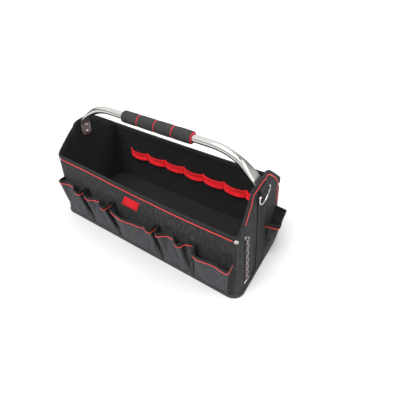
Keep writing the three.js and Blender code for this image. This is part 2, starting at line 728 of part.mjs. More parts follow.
function tapeChain() {
  const pitch = 2 * LINK_HALF_LENGTH - 2 * LINK_WIRE + LINK_BITE;
  const top = endPoint(1, CHAIN_Y, CHAIN_TOP, CHAIN_STANDOFF);
  const foot = endPoint(1, CHAIN_Y, CHAIN_TOP - CHAIN_LINKS * pitch, CHAIN_STANDOFF);
  const down = foot.clone().sub(top).normalize();
  const along = new THREE.Vector3(0, 1, 0);
  const outward = new THREE.Vector3().crossVectors(along, down).normalize();
  const pieces = [];
  for (let i = 0; i < CHAIN_LINKS; i += 1) {
    const centre = top.clone().addScaledVector(down, i * pitch);
    pieces.push(chainLink(centre, down, i % 2 === 0 ? outward : along));
  }
  const studBase = endPoint(1, CHAIN_Y, CHAIN_TOP, PIECE_GAP);
  const stud = [
    { radius: 0, along: 0 },
    { radius: ANCHOR_RADIUS, along: 0 },
    { radius: ANCHOR_RADIUS, along: ANCHOR_THICKNESS / 2 },
    { radius: ANCHOR_RADIUS / 2, along: ANCHOR_THICKNESS },
    { radius: 0, along: ANCHOR_THICKNESS },
  ];
  pieces.push(turned(stud, studBase, ALONG_X, 12));
  const toggle = [
    { radius: 0, along: 0 },
    { radius: TOGGLE_RADIUS, along: 0 },
    { radius: TOGGLE_RADIUS, along: 2 * TOGGLE_HALF_LENGTH },
    { radius: 0, along: 2 * TOGGLE_HALF_LENGTH },
  ];
  const toggleReach = (CHAIN_LINKS - 1) * pitch + LINK_HALF_LENGTH + LINK_WIRE / 2;
  const toggleBase = top.clone().addScaledVector(down, toggleReach)
    .addScaledVector(along, -TOGGLE_HALF_LENGTH);
  pieces.push(turned(toggle, toggleBase, along, 10));
  return fused(pieces);
}
addPiece("tape_chain", tapeChain(), "nickel");

export default bag;
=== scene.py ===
"""Dresses the solids of an open tool bag: sewn canvas, pleated pockets, elastic, foam, steel and thread."""
import json
import math
from collections import namedtuple

import bpy
import numpy as np
from bpy.props import FloatProperty, FloatVectorProperty, IntProperty, PointerProperty
from bpy.types import Operator, Panel, PropertyGroup
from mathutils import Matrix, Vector


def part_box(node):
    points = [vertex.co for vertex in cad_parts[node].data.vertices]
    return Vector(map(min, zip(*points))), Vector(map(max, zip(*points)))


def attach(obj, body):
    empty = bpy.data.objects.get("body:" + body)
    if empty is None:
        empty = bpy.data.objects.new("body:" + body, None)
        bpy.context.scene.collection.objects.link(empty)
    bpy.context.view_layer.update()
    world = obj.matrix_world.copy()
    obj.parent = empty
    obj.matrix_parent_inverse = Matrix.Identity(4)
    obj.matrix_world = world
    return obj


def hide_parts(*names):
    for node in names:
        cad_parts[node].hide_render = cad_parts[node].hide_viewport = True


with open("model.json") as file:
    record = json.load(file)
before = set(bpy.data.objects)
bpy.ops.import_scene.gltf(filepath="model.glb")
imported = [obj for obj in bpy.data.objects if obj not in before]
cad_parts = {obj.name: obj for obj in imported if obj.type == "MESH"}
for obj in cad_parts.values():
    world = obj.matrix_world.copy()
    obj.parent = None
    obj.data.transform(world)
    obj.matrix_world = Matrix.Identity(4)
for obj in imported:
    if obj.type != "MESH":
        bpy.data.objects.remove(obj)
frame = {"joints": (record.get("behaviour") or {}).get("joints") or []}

bl_info = {
    "name": "Tool Bag",
    "version": (1, 0, 0),
    "blender": (4, 5, 0),
    "location": "View3D > Sidebar > Tool Bag",
    "description": "Sews cloth, thread, foam and metal finishes around the solids of an open tool bag",
    "category": "Object",
}

MM = 0.001
QUARTER_TURN = math.pi / 2
# Clearance between a piece and what it sits on, and the height of a thread over its cloth.
SEAT_GAP = 0.3 * MM
STITCH_LIFT = 0.1 * MM
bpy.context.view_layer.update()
SIDES = {"right": 1, "left": -1}


# Properties that a user would change

def length(name, description, default):
    """A length in metres."""
    return FloatProperty(name=name, description=description, default=default, unit="LENGTH", precision=5)


def factor(name, description, default):
    """A plain ratio."""
    return FloatProperty(name=name, description=description, default=default, precision=3)


def turn(name, description, degrees):
    """An angle, shown in degrees."""
    return FloatProperty(name=name, description=description, default=math.radians(degrees), unit="ROTATION")


def colour(name, description, default):
    """A linear colour."""
    return FloatVectorProperty(name=name, description=description, default=default, subtype="COLOR",
                               size=3, min=0.0, max=1.0)


def count(name, description, default):
    """A whole number."""
    return IntProperty(name=name, description=description, default=default, min=1)


def middle(node, axis):
    """The middle of a node's box along one axis."""
    low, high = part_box(node)
    return (low[axis] + high[axis]) / 2


def span(node, axis):
    """The size of a node's box along one axis."""
    low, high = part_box(node)
    return high[axis] - low[axis]


class BodySettings(PropertyGroup):
    """Plan, walls and hem of the bag."""

    half_width: length("Half width", "Half of the width outside the long walls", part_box("back_wall")[1].y)
    base_half_length: length("Base half length", "Half of the length at the floor", 250 * MM)
    rim_half_length: length("Rim half length", "Half of the length at the long walls' rim", 243.5 * MM)
    peak_half_length: length("Peak half length", "Half of the length at the ends' top", 241 * MM)
    rim_height: length("Rim height", "Height of the back wall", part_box("back_wall")[1].z)
    front_rim: length("Front rim", "Height of the front wall at its corners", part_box("front_wall")[1].z)
    front_sag: length("Front sag", "How far the front rim sags between its corners", 6 * MM)
    back_sag: length("Back sag", "How far the back rim sags between its corners", 1.6 * MM)
    peak_height: length("Peak height", "Height that the sway of the ends is drawn from", 232 * MM)
    right_peak: length("Right peak", "Height that the right end's top is drawn from", 232 * MM)
    right_shoulder: length("Right shoulder", "Half of the right end's flat top", 33 * MM)
    left_peak: length("Left peak", "Height that the left end's top is drawn from", 228 * MM)
    left_shoulder: length("Left shoulder", "Half of the left end's flat top", 25 * MM)
    shoulder_round: length("Shoulder round", "How softly a flat top turns into its slopes", 10 * MM)
    base_corner: length("Base corner", "Radius of the upright corners at the floor", 22 * MM)
    rim_corner: length("Rim corner", "Radius of the upright corners at the rim", 9 * MM)
    corner_taper: factor("Corner taper", "How late the corners tighten toward the rim", 1.5)
    sway: length("Sway", "How far the top leans along the length", -7 * MM)
    front_lean: length("Front lean", "How far the front rim leans in at its left end", 10 * MM)
    lean_from: length("Lean from", "Place along the front where the lean begins", 150 * MM)
    lean_full: length("Lean full", "Place along the front where the lean is whole", -220 * MM)
    wall: length("Wall", "Thickness of the padded cloth walls", 3 * MM)
    foot: length("Foot", "Height of the walls' lower edge", 0.6 * MM)
    hem: length("Hem", "Width of the folded hem at the rim", 11.5 * MM)
    hem_stitch: length("Hem stitch", "Depth of the hem's stitch row below the rim", 8.5 * MM)
    hem_swell: length("Hem swell", "How much the folded hem thickens each side", 0.7 * MM)
    bow: length("Bow", "How far a long wall bows between its corners", 2.2 * MM)
    ripple: length("Ripple", "Height of the soft ripples in the walls", 0.9 * MM)
    crease: length("Crease", "Depth of the creases beside the end straps", 2.0 * MM)
    lap: length("Lap", "Height of the lapped seam at the corners", 0.7 * MM)


class PocketSettings(PropertyGroup):
    """Cloth of the front and end pockets."""

    gap: length("Gap", "Clearance between a pocket and the wall", SEAT_GAP)
    cloth: length("Cloth", "Thickness of the pocket cloth", 1.6 * MM)
    bottom: length("Bottom", "Height of the pockets' lower seam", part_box("front_pocket_3")[0].z)
    hem: length("Hem", "Height of the front pockets' hem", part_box("front_pocket_3")[1].z)
    end_hem: length("End hem", "Height of the end pocket's hem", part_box("end_pocket")[1].z)
    seam: length("Seam", "Width of cloth sewn down at each side", 3 * MM)
    flare: factor("Flare", "How the stand-off grows with height", 1.15)
    tape: length("Tape", "Width of the binding tape on the hem", 7.5 * MM)
    tape_swell: length("Tape swell", "How much the tape thickens the hem", 0.9 * MM)
    # The black strip along each side seam is painted shade, for the shadow in the seam's valley.
    painted_seam_shade: length("Seam tape", "Width of the binding tape along each side seam", 1.9 * MM)
    dip: length("Dip", "How far the hem drops at the side seams", 4 * MM)
    dip_reach: length("Dip reach", "How far from a side seam the hem drops", 7 * MM)
    slack: factor("Slack", "Spare cloth that settles into wrinkles", 0.014)
    settle_frames: count("Settle frames", "Steps of the cloth simulation", 16)
    settle_limit: length("Settle limit", "Most that a point of cloth may move", 5 * MM)


class FittingSettings(PropertyGroup):
    """Handle, grip, end rings, tool loops, chain and rivets."""

    handle_centre: length("Handle centre", "Middle of the handle along the bag", -8 * MM)
    handle_height: length("Handle height", "Height of the handle's axis", middle("foam_grip", 2))
    handle_straight: length("Handle straight", "Half of the handle's straight stretch", 134 * MM)
    bend_radius: length("Bend radius", "Radius of the handle's bends", 125 * MM)
    bend_end: turn("Bend end", "How far each bend turns", 48)
    flat_from: turn("Flat from", "Turn of the bend at which the tube starts to flatten", 24)
    tube: length("Tube", "Radius of the handle tube", 8 * MM)
    plate_half_width: length("Plate half width", "Half of the flattened plate's width", 13.5 * MM)
    plate_half_depth: length("Plate half depth", "Half of the flattened plate's thickness", 2.5 * MM)
    plate_top: length("Plate top", "Height of the plates' upper end", 214 * MM)
    plate_bottom: length("Plate bottom", "Height of the plates' lower end", 178 * MM)
    grip: length("Grip", "Radius of the foam grip", span("foam_grip", 1) / 2)
    groove: length("Groove", "Radius at the bottom of the grip's grooves", 12.4 * MM)
    wire: length("Wire", "Radius of the end rings' wire", 2 * MM)
    ring_half_width: length("Ring half width", "Half of the end rings' width", 23 * MM)
    ring_drop: length("Ring drop", "How far the rings hang below their bar", 25 * MM)
    loop_from: length("Loop from", "Where the row of tool loops begins", -192 * MM)
    loop_pitch: length("Loop pitch", "Length of each tool loop", 59.5 * MM)
    loops: count("Loops", "Number of tool loops", 7)
    loop_bulge: length("Loop bulge", "How far each loop stands off the wall", 9 * MM)
    elastic: length("Elastic", "Thickness of the elastic band", 1.5 * MM)
    chain_links: count("Chain links", "Number of links in the chain", 13)
    link_half_length: length("Link half length", "Half of a link's length at its wire's axis", 5.2 * MM)
    link_half_width: length("Link half width", "Half of a link's width at its wire's axis", 2.4 * MM)
    link_wire: length("Link wire", "Radius of the chain's wire", 1 * MM)
    rivet: length("Rivet", "Radius of the rim rivets", 4.4 * MM)
    plate_rivet: length("Plate rivet", "Radius of the handle plates' rivets", 4 * MM)
    rivet_height: length("Rivet height", "Height of a rivet's head", 2 * MM)


class ThreadSettings(PropertyGroup):
    """Stitches."""

    stitch: length("Stitch", "Length of a contrast stitch", 5.6 * MM)
    gap: length("Gap", "Space between contrast stitches", 0.12 * MM)
    width: length("Width", "Width of the contrast thread", 2.0 * MM)
    fine_stitch: length("Fine stitch", "Length of a plain stitch", 3.2 * MM)
    fine_gap: length("Fine gap", "Space between plain stitches", 0.9 * MM)
    fine_width: length("Fine width", "Width of the plain thread", 0.9 * MM)

    def contrast(self):
        """Stitch, gap and width of the contrast stitches."""
        return self.stitch, self.gap, self.width

    def plain(self):
        """Stitch, gap and width of the plain stitches."""
        return self.fine_stitch, self.fine_gap, self.fine_width


class ColourSettings(PropertyGroup):
    """Colours of the finishes."""

    canvas: colour("Canvas", "Outer canvas of the walls", (0.0190, 0.0186, 0.0188))
    # Darker than the canvas it is folded from: painted shade on the hem band, in place of the light on its
    # rolled top.
    hem: colour("Hem", "Folded edge of the canvas", (0.0120, 0.0118, 0.0120))
    lining: colour("Lining", "Inner cloth of the walls", (0.0070, 0.0072, 0.0075))
    # Its lighter tone on the tape round the base is a painted highlight along the tape's rounded top.
    pocket: colour("Pocket", "Front pockets and the tape round the base", (0.0300, 0.0308, 0.0345))
    # Also laid as black painted shade in the pockets' pleats and along their side seams.
    tape: colour("Tape", "Binding tape and gussets of the pockets", (0.0055, 0.0055, 0.0058))
    webbing: colour("Webbing", "End straps and ring tabs", (0.0090, 0.0074, 0.0072))
    elastic: colour("Elastic", "Tool loops", (0.86, 0.011, 0.018))
    label: colour("Label", "Bare patch on the front, and the red tacks", (0.54, 0.006, 0.013))
    thread: colour("Thread", "Contrast stitches", (0.74, 0.026, 0.022))
    plain_thread: colour("Plain thread", "Stitches in the cloth's own colour", (0.013, 0.013, 0.014))
    foam: colour("Foam", "Grip", (0.018, 0.018, 0.0175))
    ring: colour("Grip ring", "Rings on the grip", (0.56, 0.018, 0.040))
    steel: colour("Steel", "Handle tube", (0.58, 0.575, 0.55))
    chain: colour("Chain", "Dull plated links", (0.34, 0.30, 0.29))
    nickel: colour("Nickel", "End rings and rivets", (0.56, 0.53, 0.51))
    floor: colour("Floor", "Studio floor", (0.52, 0.52, 0.52))


class StageSettings(PropertyGroup):
    """Camera and light."""

    eye: FloatVectorProperty(name="Eye", description="Place of the camera", subtype="TRANSLATION", size=3,
                             default=(393.7 * MM, -459.9 * MM, 587.0 * MM))
    azimuth: turn("Azimuth", "Direction that the camera looks from", 32.19)
    elevation: turn("Elevation", "Angle that the camera looks down", 32.74)
    lens: FloatProperty(name="Lens", description="Focal length in millimetres", default=29.32)
    shift_x: factor("Shift X", "Sideways shift of the picture", -0.0055)
    shift_y: factor("Shift Y", "Upward shift of the picture", -0.115)
    surround: factor("Surround", "Strength of the light from all round", 1.34)
    horizon: factor("Horizon", "Brightness near the horizon next to the sky above", 0.22)
    shade: factor("Shade", "Brightness of the right side of the sky next to the left side", 0.35)
    key: factor("Key", "Strength of the soft light from the front", 4.0)
    fill: factor("Fill", "Strength of the soft light on the right end", 2.0)


class ToolBagSettings(PropertyGroup):
    """All sizes and colours of the tool bag."""

    body: PointerProperty(type=BodySettings)
    pockets: PointerProperty(type=PocketSettings)
    fittings: PointerProperty(type=FittingSettings)
    thread: PointerProperty(type=ThreadSettings)
    colours: PointerProperty(type=ColourSettings)
    stage: PointerProperty(type=StageSettings)


# One row is one pocket, in millimetres: its seams along the wall, and the bends of its hem between them,
# each as its place along the wall and how far it stands off. The fold is the edge of the last pleat, the lean
# is how far it runs to the right on its way down. The feet and the tucks are how far the left and right
# seams are drawn along the wall at the bottom and at the hem. The last column is the span in the pleat that
# takes the black tape colour as painted shade, for the shadow on the pleat's hidden side.
PocketCut = namedtuple("PocketCut", "left right bends fold lean feet tucks gusset")
FRONT_POCKETS = [
    PocketCut(-238, -152, [(-231, 18.5), (-207, 10.8), (-192, 11.8), (-164, 26.5), (-158.5, 24.5)],
              -158, 7, (0, 7), (0, -5), (-158, -152)),
    PocketCut(-152, -66, [(-138, 24), (-130, 26), (-108, 17), (-98, 14.8), (-78, 29.5), (-72.5, 28)],
              -72, 8, (7, 8), (-5, -3), (-72, -66)),
    PocketCut(-66, 63, [(-51, 25.6), (-38, 28.8), (-14, 31), (20, 25), (40, 20.8), (51, 26), (56.5, 24.5)],
              57, 6, (8, 6), (-3, -7), (57, 63)),
    PocketCut(63, 146, [(73, 24), (94, 10.8), (104, 10.8), (125, 24), (128.5, 22.5), (132, 8.5), (139, 6)],
              129, 12, (6, 0), (-7, 5), (129, 133)),
    PocketCut(146, 239, [(164, 27), (172, 28.6), (208, 24.5), (226, 27), (231.2, 27), (234, 9)],
              231.8, -4, (0, -4), (5, -5), (231.8, 239)),
]
END_POCKET = PocketCut(11, 80, [(21, 31), (36, 28), (56.5, 26), (70.3, 25)],
                       71, 0, (0, 0), (0, 0), (11, 16.5))

# The label's edges along the front and in height, and how far its top is shifted.
LabelCut = namedtuple("LabelCut", "left right bottom top slant thickness")
LABEL = LabelCut(-36 * MM, 7 * MM, 112.5 * MM, 136 * MM, 10 * MM, 0.8 * MM)


# Numbers and curves

def lerp(first, second, share):
    """The value between two others."""
    return first + (second - first) * share


def smooth_step(value, low, high):
    """0 below low, 1 above high, and an eased climb between."""
    share = np.clip((np.asarray(value, float) - low) / (high - low), 0.0, 1.0)
    return share * share * (3.0 - 2.0 * share)


def stacked(x, y, z):
    """Points from three arrays."""
    return np.stack(np.broadcast_arrays(x, y, z), axis=-1).astype(float)


def unit(vectors):
    """Vectors of length one."""
    sizes = np.linalg.norm(vectors, axis=-1, keepdims=True)
    return vectors / np.maximum(sizes, 1e-12)


def running(steps):
    """Distances from a start after each of a row of steps."""
    return np.concatenate([[0.0], np.cumsum(steps)])


def distances(path):
    """Distance along a path at each of its points."""
    return running(np.linalg.norm(np.diff(path, axis=0), axis=1))


def round_angles(sides):
    """Even angles round a full turn."""
    return np.linspace(0.0, 2 * np.pi, sides, endpoint=False)


def tapered(number, *ends):
    """Ones, with the given values from both ends inward."""
    values = np.ones(number)
    for index, value in enumerate(ends):
        values[[index, -1 - index]] = value
    return values


def neighbours(grid):
    """The mean of the four points round each point of a grid; past an edge its own points count."""
    wide = np.pad(grid, ((1, 1), (1, 1), (0, 0)), mode="edge")
    return (wide[:-2, 1:-1] + wide[2:, 1:-1] + wide[1:-1, :-2] + wide[1:-1, 2:]) / 4


def sampled(path, places):
    """Points of a path at given distances along it."""
    along = distances(path)
    return np.stack([np.interp(places, along, path[:, axis]) for axis in range(path.shape[1])], axis=1)


def resampled(path, points):
    """A path with evenly spaced points."""
    return sampled(path, np.linspace(0.0, distances(path)[-1], points))


def grid_normals(grid):
    """Unit normals of a grid of points: along its columns crossed with up its rows."""
    return unit(np.cross(np.gradient(grid, axis=1), np.gradient(grid, axis=0)))


def ridges(grid, normals, scale):
    """How strongly each point of a grid stands proud of its neighbours, from 0 to 1."""
    proud = np.einsum("rck,rck->rc", grid - neighbours(grid), normals)
    proud[[0, -1], :] = 0.0
    proud[:, [0, -1]] = 0.0
    return np.clip(proud / scale, 0.0, 1.0)


# Plan of the bag

class BagPlan:
    """Where a point of the walls lies, from its place along the wall, its height and its stand-off."""

    def __init__(self, body):
        self.body = body

    def half_length(self, z):
        body = self.body
        low = lerp(body.base_half_length, body.rim_half_length, z / body.rim_height)
        climb = (z - body.rim_height) / (body.peak_height - body.rim_height)
        return np.where(z < body.rim_height, low, lerp(body.rim_half_length, body.peak_half_length, climb))

    def end_face(self, end, z):
        return self.body.sway * (z / self.body.peak_height) ** 2 + end * self.half_length(z)

    def rim_share(self, z):
        return np.clip(z / self.body.rim_height, 0.0, 1.0)

    def corner_radius(self, z):
        taper = self.rim_share(z) ** self.body.corner_taper
        return lerp(self.body.base_corner, self.body.rim_corner, taper)

    def lean(self, x, z):
        reach = smooth_step(-x, -self.body.lean_from, -self.body.lean_full)
        return self.body.front_lean * self.rim_share(z) * reach

    def corner_point(self, end, face, z, angle, out):
        """A point on a rounded corner: angle 0 lies on the end face, a quarter turn on the long face."""
        radius = self.corner_radius(z)
        lean = self.body.front_lean * self.rim_share(z) if end < 0 and face < 0 else 0.0
        x = self.end_face(end, z) + end * ((radius + out) * np.cos(angle) - radius)
        y = face * self.body.half_width + lean + face * ((radius + out) * np.sin(angle) - radius)
        return stacked(x, y, z)

    def long_point(self, face, share, z, out):
        """A point on the flat of a long wall, by its share of the way from left to right."""
        radius = self.corner_radius(z)
        x = lerp(self.end_face(-1, z) + radius, self.end_face(1, z) - radius, share)
        lean = self.lean(x, z) if face < 0 else 0.0
        return stacked(x, face * (self.body.half_width + out) + lean, z)

    def flank_point(self, end, share, z, out):
        """A point on the flat of an end wall, by its share of the way from front to back."""
        first = self.corner_point(end, -1, z, 0.0, out)
        last = self.corner_point(end, 1, z, 0.0, out)
        return lerp(first, last, np.asarray(share)[..., None])

    def front_point(self, along, z, out):
        """A point on the front, measured along it and on around its corners."""
        along, z, out = np.broadcast_arrays(along, z, out)
        radius = self.corner_radius(z)
        left = self.end_face(-1, z) + radius
        right = self.end_face(1, z) - radius
        flat = stacked(along, -self.body.half_width + self.lean(along, z) - out, z)
        around_left = self.corner_point(-1, -1, z, QUARTER_TURN - (left - along) / radius, out)
        around_right = self.corner_point(1, -1, z, QUARTER_TURN - (along - right) / radius, out)
        points = np.where((along < left)[..., None], around_left, flat)
        return np.where((along > right)[..., None], around_right, points)

    def end_point(self, end, y, z, out):
        return stacked(self.end_face(end, z) + end * np.asarray(out), y, z)

    def right_end_point(self, y, z, out):
        return self.end_point(1, y, z, out)

    def long_top(self, face, share):
        """Height of a long wall's top edge, by its share of the way from left to right."""
        rim = self.body.front_rim if face < 0 else self.body.rim_height
        sag = self.body.front_sag if face < 0 else self.body.back_sag
        return rim - sag * 4.0 * share * (1.0 - share)

    def end_top(self, end, y):
        """Height of an end wall's top edge."""
        body = self.body
        peak = body.right_peak if end > 0 else body.left_peak
        shoulder = body.right_shoulder if end > 0 else body.left_shoulder
        rim = np.where(y < 0, body.front_rim, body.rim_height)
        corner = body.half_width - np.where((y < 0) & (end < 0), body.front_lean, 0.0)
        beyond = np.abs(y) - shoulder
        slope = (peak - rim) / (corner - shoulder)
        drop = slope * (beyond + np.hypot(beyond, body.shoulder_round)) / 2
        return np.maximum(peak - drop, rim)


# Soft relief of the walls

POCKET_ZONE = (112 * MM, 138 * MM)
WALL_SPAN = 226 * MM
STRAP_Y = middle("end_webbing_right", 1)
STRAP_CLEAR = (20 * MM, 29 * MM)
CREASE_PLACE = 29 * MM
CREASE_WIDTH = 9 * MM
FLANK_CLEAR = (54 * MM, 74 * MM)
LOOP_ZONE = (74 * MM, 114 * MM)
LOOP_EASE = (10 * MM, 12 * MM)
PLATE_ZONE = (150 * MM, 172 * MM)
PLATE_SIDES = (17 * MM, 26 * MM)
LINING_CLEAR = (74 * MM, 90 * MM)
LINING_FOLD = 7.5 * MM
LINING_WANDER = 50 * MM
LINING_DEPTH = 1.3
SLOW_RIPPLE = 31 * MM
SLOW_WANDER = 62 * MM
SLOW_SHARE = 0.33
QUICK_RIPPLE = 15 * MM
QUICK_SLANT = 43 * MM
QUICK_SHARE = 0.17
SWELL_POWER = 0.8
FLANK_QUICKENING = 1.6
BACK_STRETCH = 0.8
BACK_SHIFT = 30 * MM


def bowed(x):
    """1 in the middle of a long wall and 0 at its corners."""
    return np.clip(1.0 - (x / WALL_SPAN) ** 2, 0.0, 1.0)


def rippled(along, z):
    """Soft uneven ripples between 0 and 1. The added angles only set where the waves begin."""
    slow = np.sin(along / SLOW_RIPPLE + 1.7 * np.sin(z / SLOW_WANDER + 0.8))
    quick = np.sin(along / QUICK_RIPPLE - z / QUICK_SLANT + 2.1)
    return 0.5 + SLOW_SHARE * slow + QUICK_SHARE * quick


def front_relief(body, x, z):
    """The front wall bows in above its pockets."""
    free = smooth_step(z, *POCKET_ZONE)
    return -free * (body.bow * bowed(x) + body.ripple * rippled(x, z) * np.sqrt(bowed(x)))


def back_relief(body, x, z):
    """The back wall bows out."""
    swell = np.sin(np.pi * np.clip(z / body.rim_height, 0.0, 1.0) ** SWELL_POWER)
    return bowed(x) * (body.bow * swell + body.ripple * rippled(-x, z) * swell)


def flank_relief(body, y, z):
    """The end walls draw in beside their straps."""
    off_strap = np.abs(y - STRAP_Y)
    clear = smooth_step(off_strap, *STRAP_CLEAR) * (1.0 - smooth_step(np.abs(y), *FLANK_CLEAR))
    crease = np.exp(-((off_strap - CREASE_PLACE) / CREASE_WIDTH) ** 2)
    return -clear * (body.crease * crease + body.ripple * rippled(y * FLANK_QUICKENING, z))


def lining_relief(body, y, z):
    """Folds of the lining inside the end walls, clear of the handle's plates."""
    beside = smooth_step(np.abs(y), *PLATE_SIDES)
    below = 1.0 - smooth_step(z, *PLATE_ZONE)
    folds = 0.5 + 0.5 * np.sin(y / LINING_FOLD + 1.2 * np.sin(z / LINING_WANDER))
    inner = 1.0 - smooth_step(np.abs(y), *LINING_CLEAR)
    return -LINING_DEPTH * body.ripple * folds * np.maximum(beside, below) * inner


def back_lining_relief(body, x, z):
    """Folds of the lining inside the back wall, clear of the tool loops."""
    low, high = LOOP_ZONE
    below, above = LOOP_EASE
    away = 1.0 - smooth_step(z, low - below, low) + smooth_step(z, high, high + above)
    return -body.ripple * away * bowed(x) * rippled(x * BACK_STRETCH, z + BACK_SHIFT)


# Meshes

class Part:
    """One skin: points, faces of four and three sides, and each face's finish, cloth places and wear."""

    def __init__(self, points, quads, tris, finish, cloth, fade):
        self.points = np.asarray(points, float).reshape(-1, 3)
        self.quads = np.asarray(quads, int).reshape(-1, 4)
        self.tris = np.asarray(tris, int).reshape(-1, 3)
        faces = len(self.quads) + len(self.tris)
        self.finish = np.broadcast_to(np.asarray(finish, int), faces).copy()
        self.cloth = cloth
        self.fade = np.zeros(len(self.points)) if fade is None else np.asarray(fade, float).ravel()
        if self.volume() < 0:
            self.quads = self.quads[:, ::-1]
            self.tris = self.tris[:, ::-1]
            self.cloth = self.cloth[:, ::-1]

    def lay_flat(self):
        """Takes the cloth places of the four-sided faces from the plan, as the three-sided ones do."""
        self.cloth = self.points[self.quads][:, :, :2]
        return self

    def volume(self):
        """Six times the signed volume, which is positive where the faces point out."""
        fans = np.concatenate([self.quads[:, [0, 1, 2]], self.quads[:, [0, 2, 3]], self.tris])
        a, b, c = (self.points[fans[:, corner]] for corner in range(3))
        return float(np.einsum("nk,nk->", a, np.cross(b, c)))


def grid_places(grid, wrap_rows, wrap_columns):
    """Mean distances along the columns and up the rows of a grid, one more where it wraps."""
    wide = np.concatenate([grid, grid[:, :1]], axis=1) if wrap_columns else grid
    tall = np.concatenate([grid, grid[:1]], axis=0) if wrap_rows else grid
    across = np.linalg.norm(np.diff(wide, axis=1), axis=2).mean(axis=0)
    up = np.linalg.norm(np.diff(tall, axis=0), axis=2).mean(axis=1)
    return running(across), running(up)


def cell_corners(rows, columns):
    """Row and column of each corner of the cells of a grid."""
    row, column = np.meshgrid(np.arange(rows), np.arange(columns), indexing="ij")
    return [(row, column), (row, column + 1), (row + 1, column + 1), (row + 1, column)]


def cell_quads(corners, rows, columns):
    """Faces of four sides from the corners of cells, which may wrap round the grid."""
    return np.stack([(r % rows) * columns + c % columns for r, c in corners], axis=-1).reshape(-1, 4)


def cell_cloth(corners, across, up):
    """Places on the cloth at the corners of cells."""
    places = [np.stack([across[c], up[r]], axis=-1) for r, c in corners]
    return np.stack(places, axis=2).reshape(-1, 4, 2)


def grid_part(grid, closed, finish_rows=None, fade=None):
    """A skin over a grid whose columns go round; its rows go round too, or are capped at both ends."""
    rows, columns = grid.shape[:2]
    corners = cell_corners(rows if closed else rows - 1, columns)
    quads = cell_quads(corners, rows, columns)
    cloth = cell_cloth(corners, *grid_places(grid, closed, True))
    points = grid.reshape(-1, 3)
    tris = []
    if not closed:
        for first, flip in ((0, True), ((rows - 1) * columns, False)):
            hub = len(points)
            points = np.vstack([points, points[first:first + columns].mean(axis=0)])
            for step in range(columns):
                edge = [first + step, first + (step + 1) % columns]
                tris.append([hub, *(edge[::-1] if flip else edge)])
    finish = 0
    if finish_rows is not None:
        row = corners[0][0]
        finish = np.concatenate([np.asarray(finish_rows)[row].ravel(), np.zeros(len(tris), int)])
    fade_all = None
    if fade is not None:
        fade_all = np.concatenate([np.ravel(fade), np.zeros(len(points) - rows * columns)])
    return Part(points, quads, tris, finish, cloth, fade_all)


def sheet_part(grid, outward, inward, cells=0, fade=None):
    """A closed cloth about a grid, moved out and in along its normals, with a finish for each cell."""
    normals = grid_normals(grid)
    rows, columns = grid.shape[:2]
    outer = grid + normals * np.broadcast_to(outward, (rows, columns))[..., None]
    inner = grid - normals * np.broadcast_to(inward, (rows, columns))[..., None]
    ring = np.concatenate([outer, inner[::-1]], axis=0)
    across, up = grid_places(grid, False, False)
    heights = np.concatenate([up, up[::-1], up[:1]])
    corners = cell_corners(2 * rows, columns - 1)
    quads = cell_quads(corners, 2 * rows, columns)
    cloth = cell_cloth(corners, across, heights)
    finish = np.broadcast_to(cells, (rows, columns - 1))
    finish_all = [np.concatenate([finish, finish[:-1][::-1], finish[:1]]).ravel()]
    edge_quads = []
    step = np.arange(rows - 1)
    mirror = 2 * rows - 1 - step
    for column_at, flip in ((0, False), (columns - 1, True)):
        edge = np.stack([step, step + 1, mirror - 1, mirror], axis=-1) * columns + column_at
        edge_quads.append(edge[:, ::-1] if flip else edge)
        finish_all.append(finish[:-1, -1 if flip else 0])
    edge_cloth = np.zeros((2 * (rows - 1), 4, 2))
    both_fade = np.zeros((rows, columns)) if fade is None else fade
    return Part(ring, np.concatenate([quads, *edge_quads]), (), np.concatenate(finish_all),
                np.concatenate([cloth, edge_cloth]), np.concatenate([both_fade, both_fade[::-1]]))


def tube_part(path, radius, sides, side_axis):
    """Round wire along a closed path that lies in the plane square to side_axis."""
    ahead = unit(np.roll(path, -1, axis=0) - np.roll(path, 1, axis=0))
    across = np.broadcast_to(side_axis, path.shape)
    outward = np.cross(ahead, across)
    angle = round_angles(sides)
    ring = np.cos(angle)[None, :, None] * across[:, None] + np.sin(angle)[None, :, None] * outward[:, None]
    return grid_part(path[:, None] + radius * ring, True)


def turned_part(profile, base, axis, sides, closed, scale=(1.0, 1.0)):
    """A body turned from rows of radius and distance, times a scale of both; an open one is capped."""
    axis = np.asarray(Vector(axis).normalized())
    first = np.asarray(Vector(axis).orthogonal().normalized())
    second = np.cross(axis, first)
    angle = round_angles(sides)
    ring = np.cos(angle)[:, None] * first + np.sin(angle)[:, None] * second
    rows = np.asarray(profile, float) * scale
    grid = np.asarray(base, float) + rows[:, 0, None, None] * ring + rows[:, 1, None, None] * axis
    return grid_part(grid, closed)


# A stitch: its rings along its half length, their girths, and its arch and half thickness by its width.
STITCH_RINGS = np.array([-1.0, -0.93, -0.5, 0.0, 0.5, 0.93, 1.0])
STITCH_GIRTH = np.array([0.6, 0.9, 0.98, 1.0, 0.98, 0.9, 0.6])
STITCH_SIDES = 6
STITCH_ARCH = 0.4
STITCH_THICKNESS = 0.34


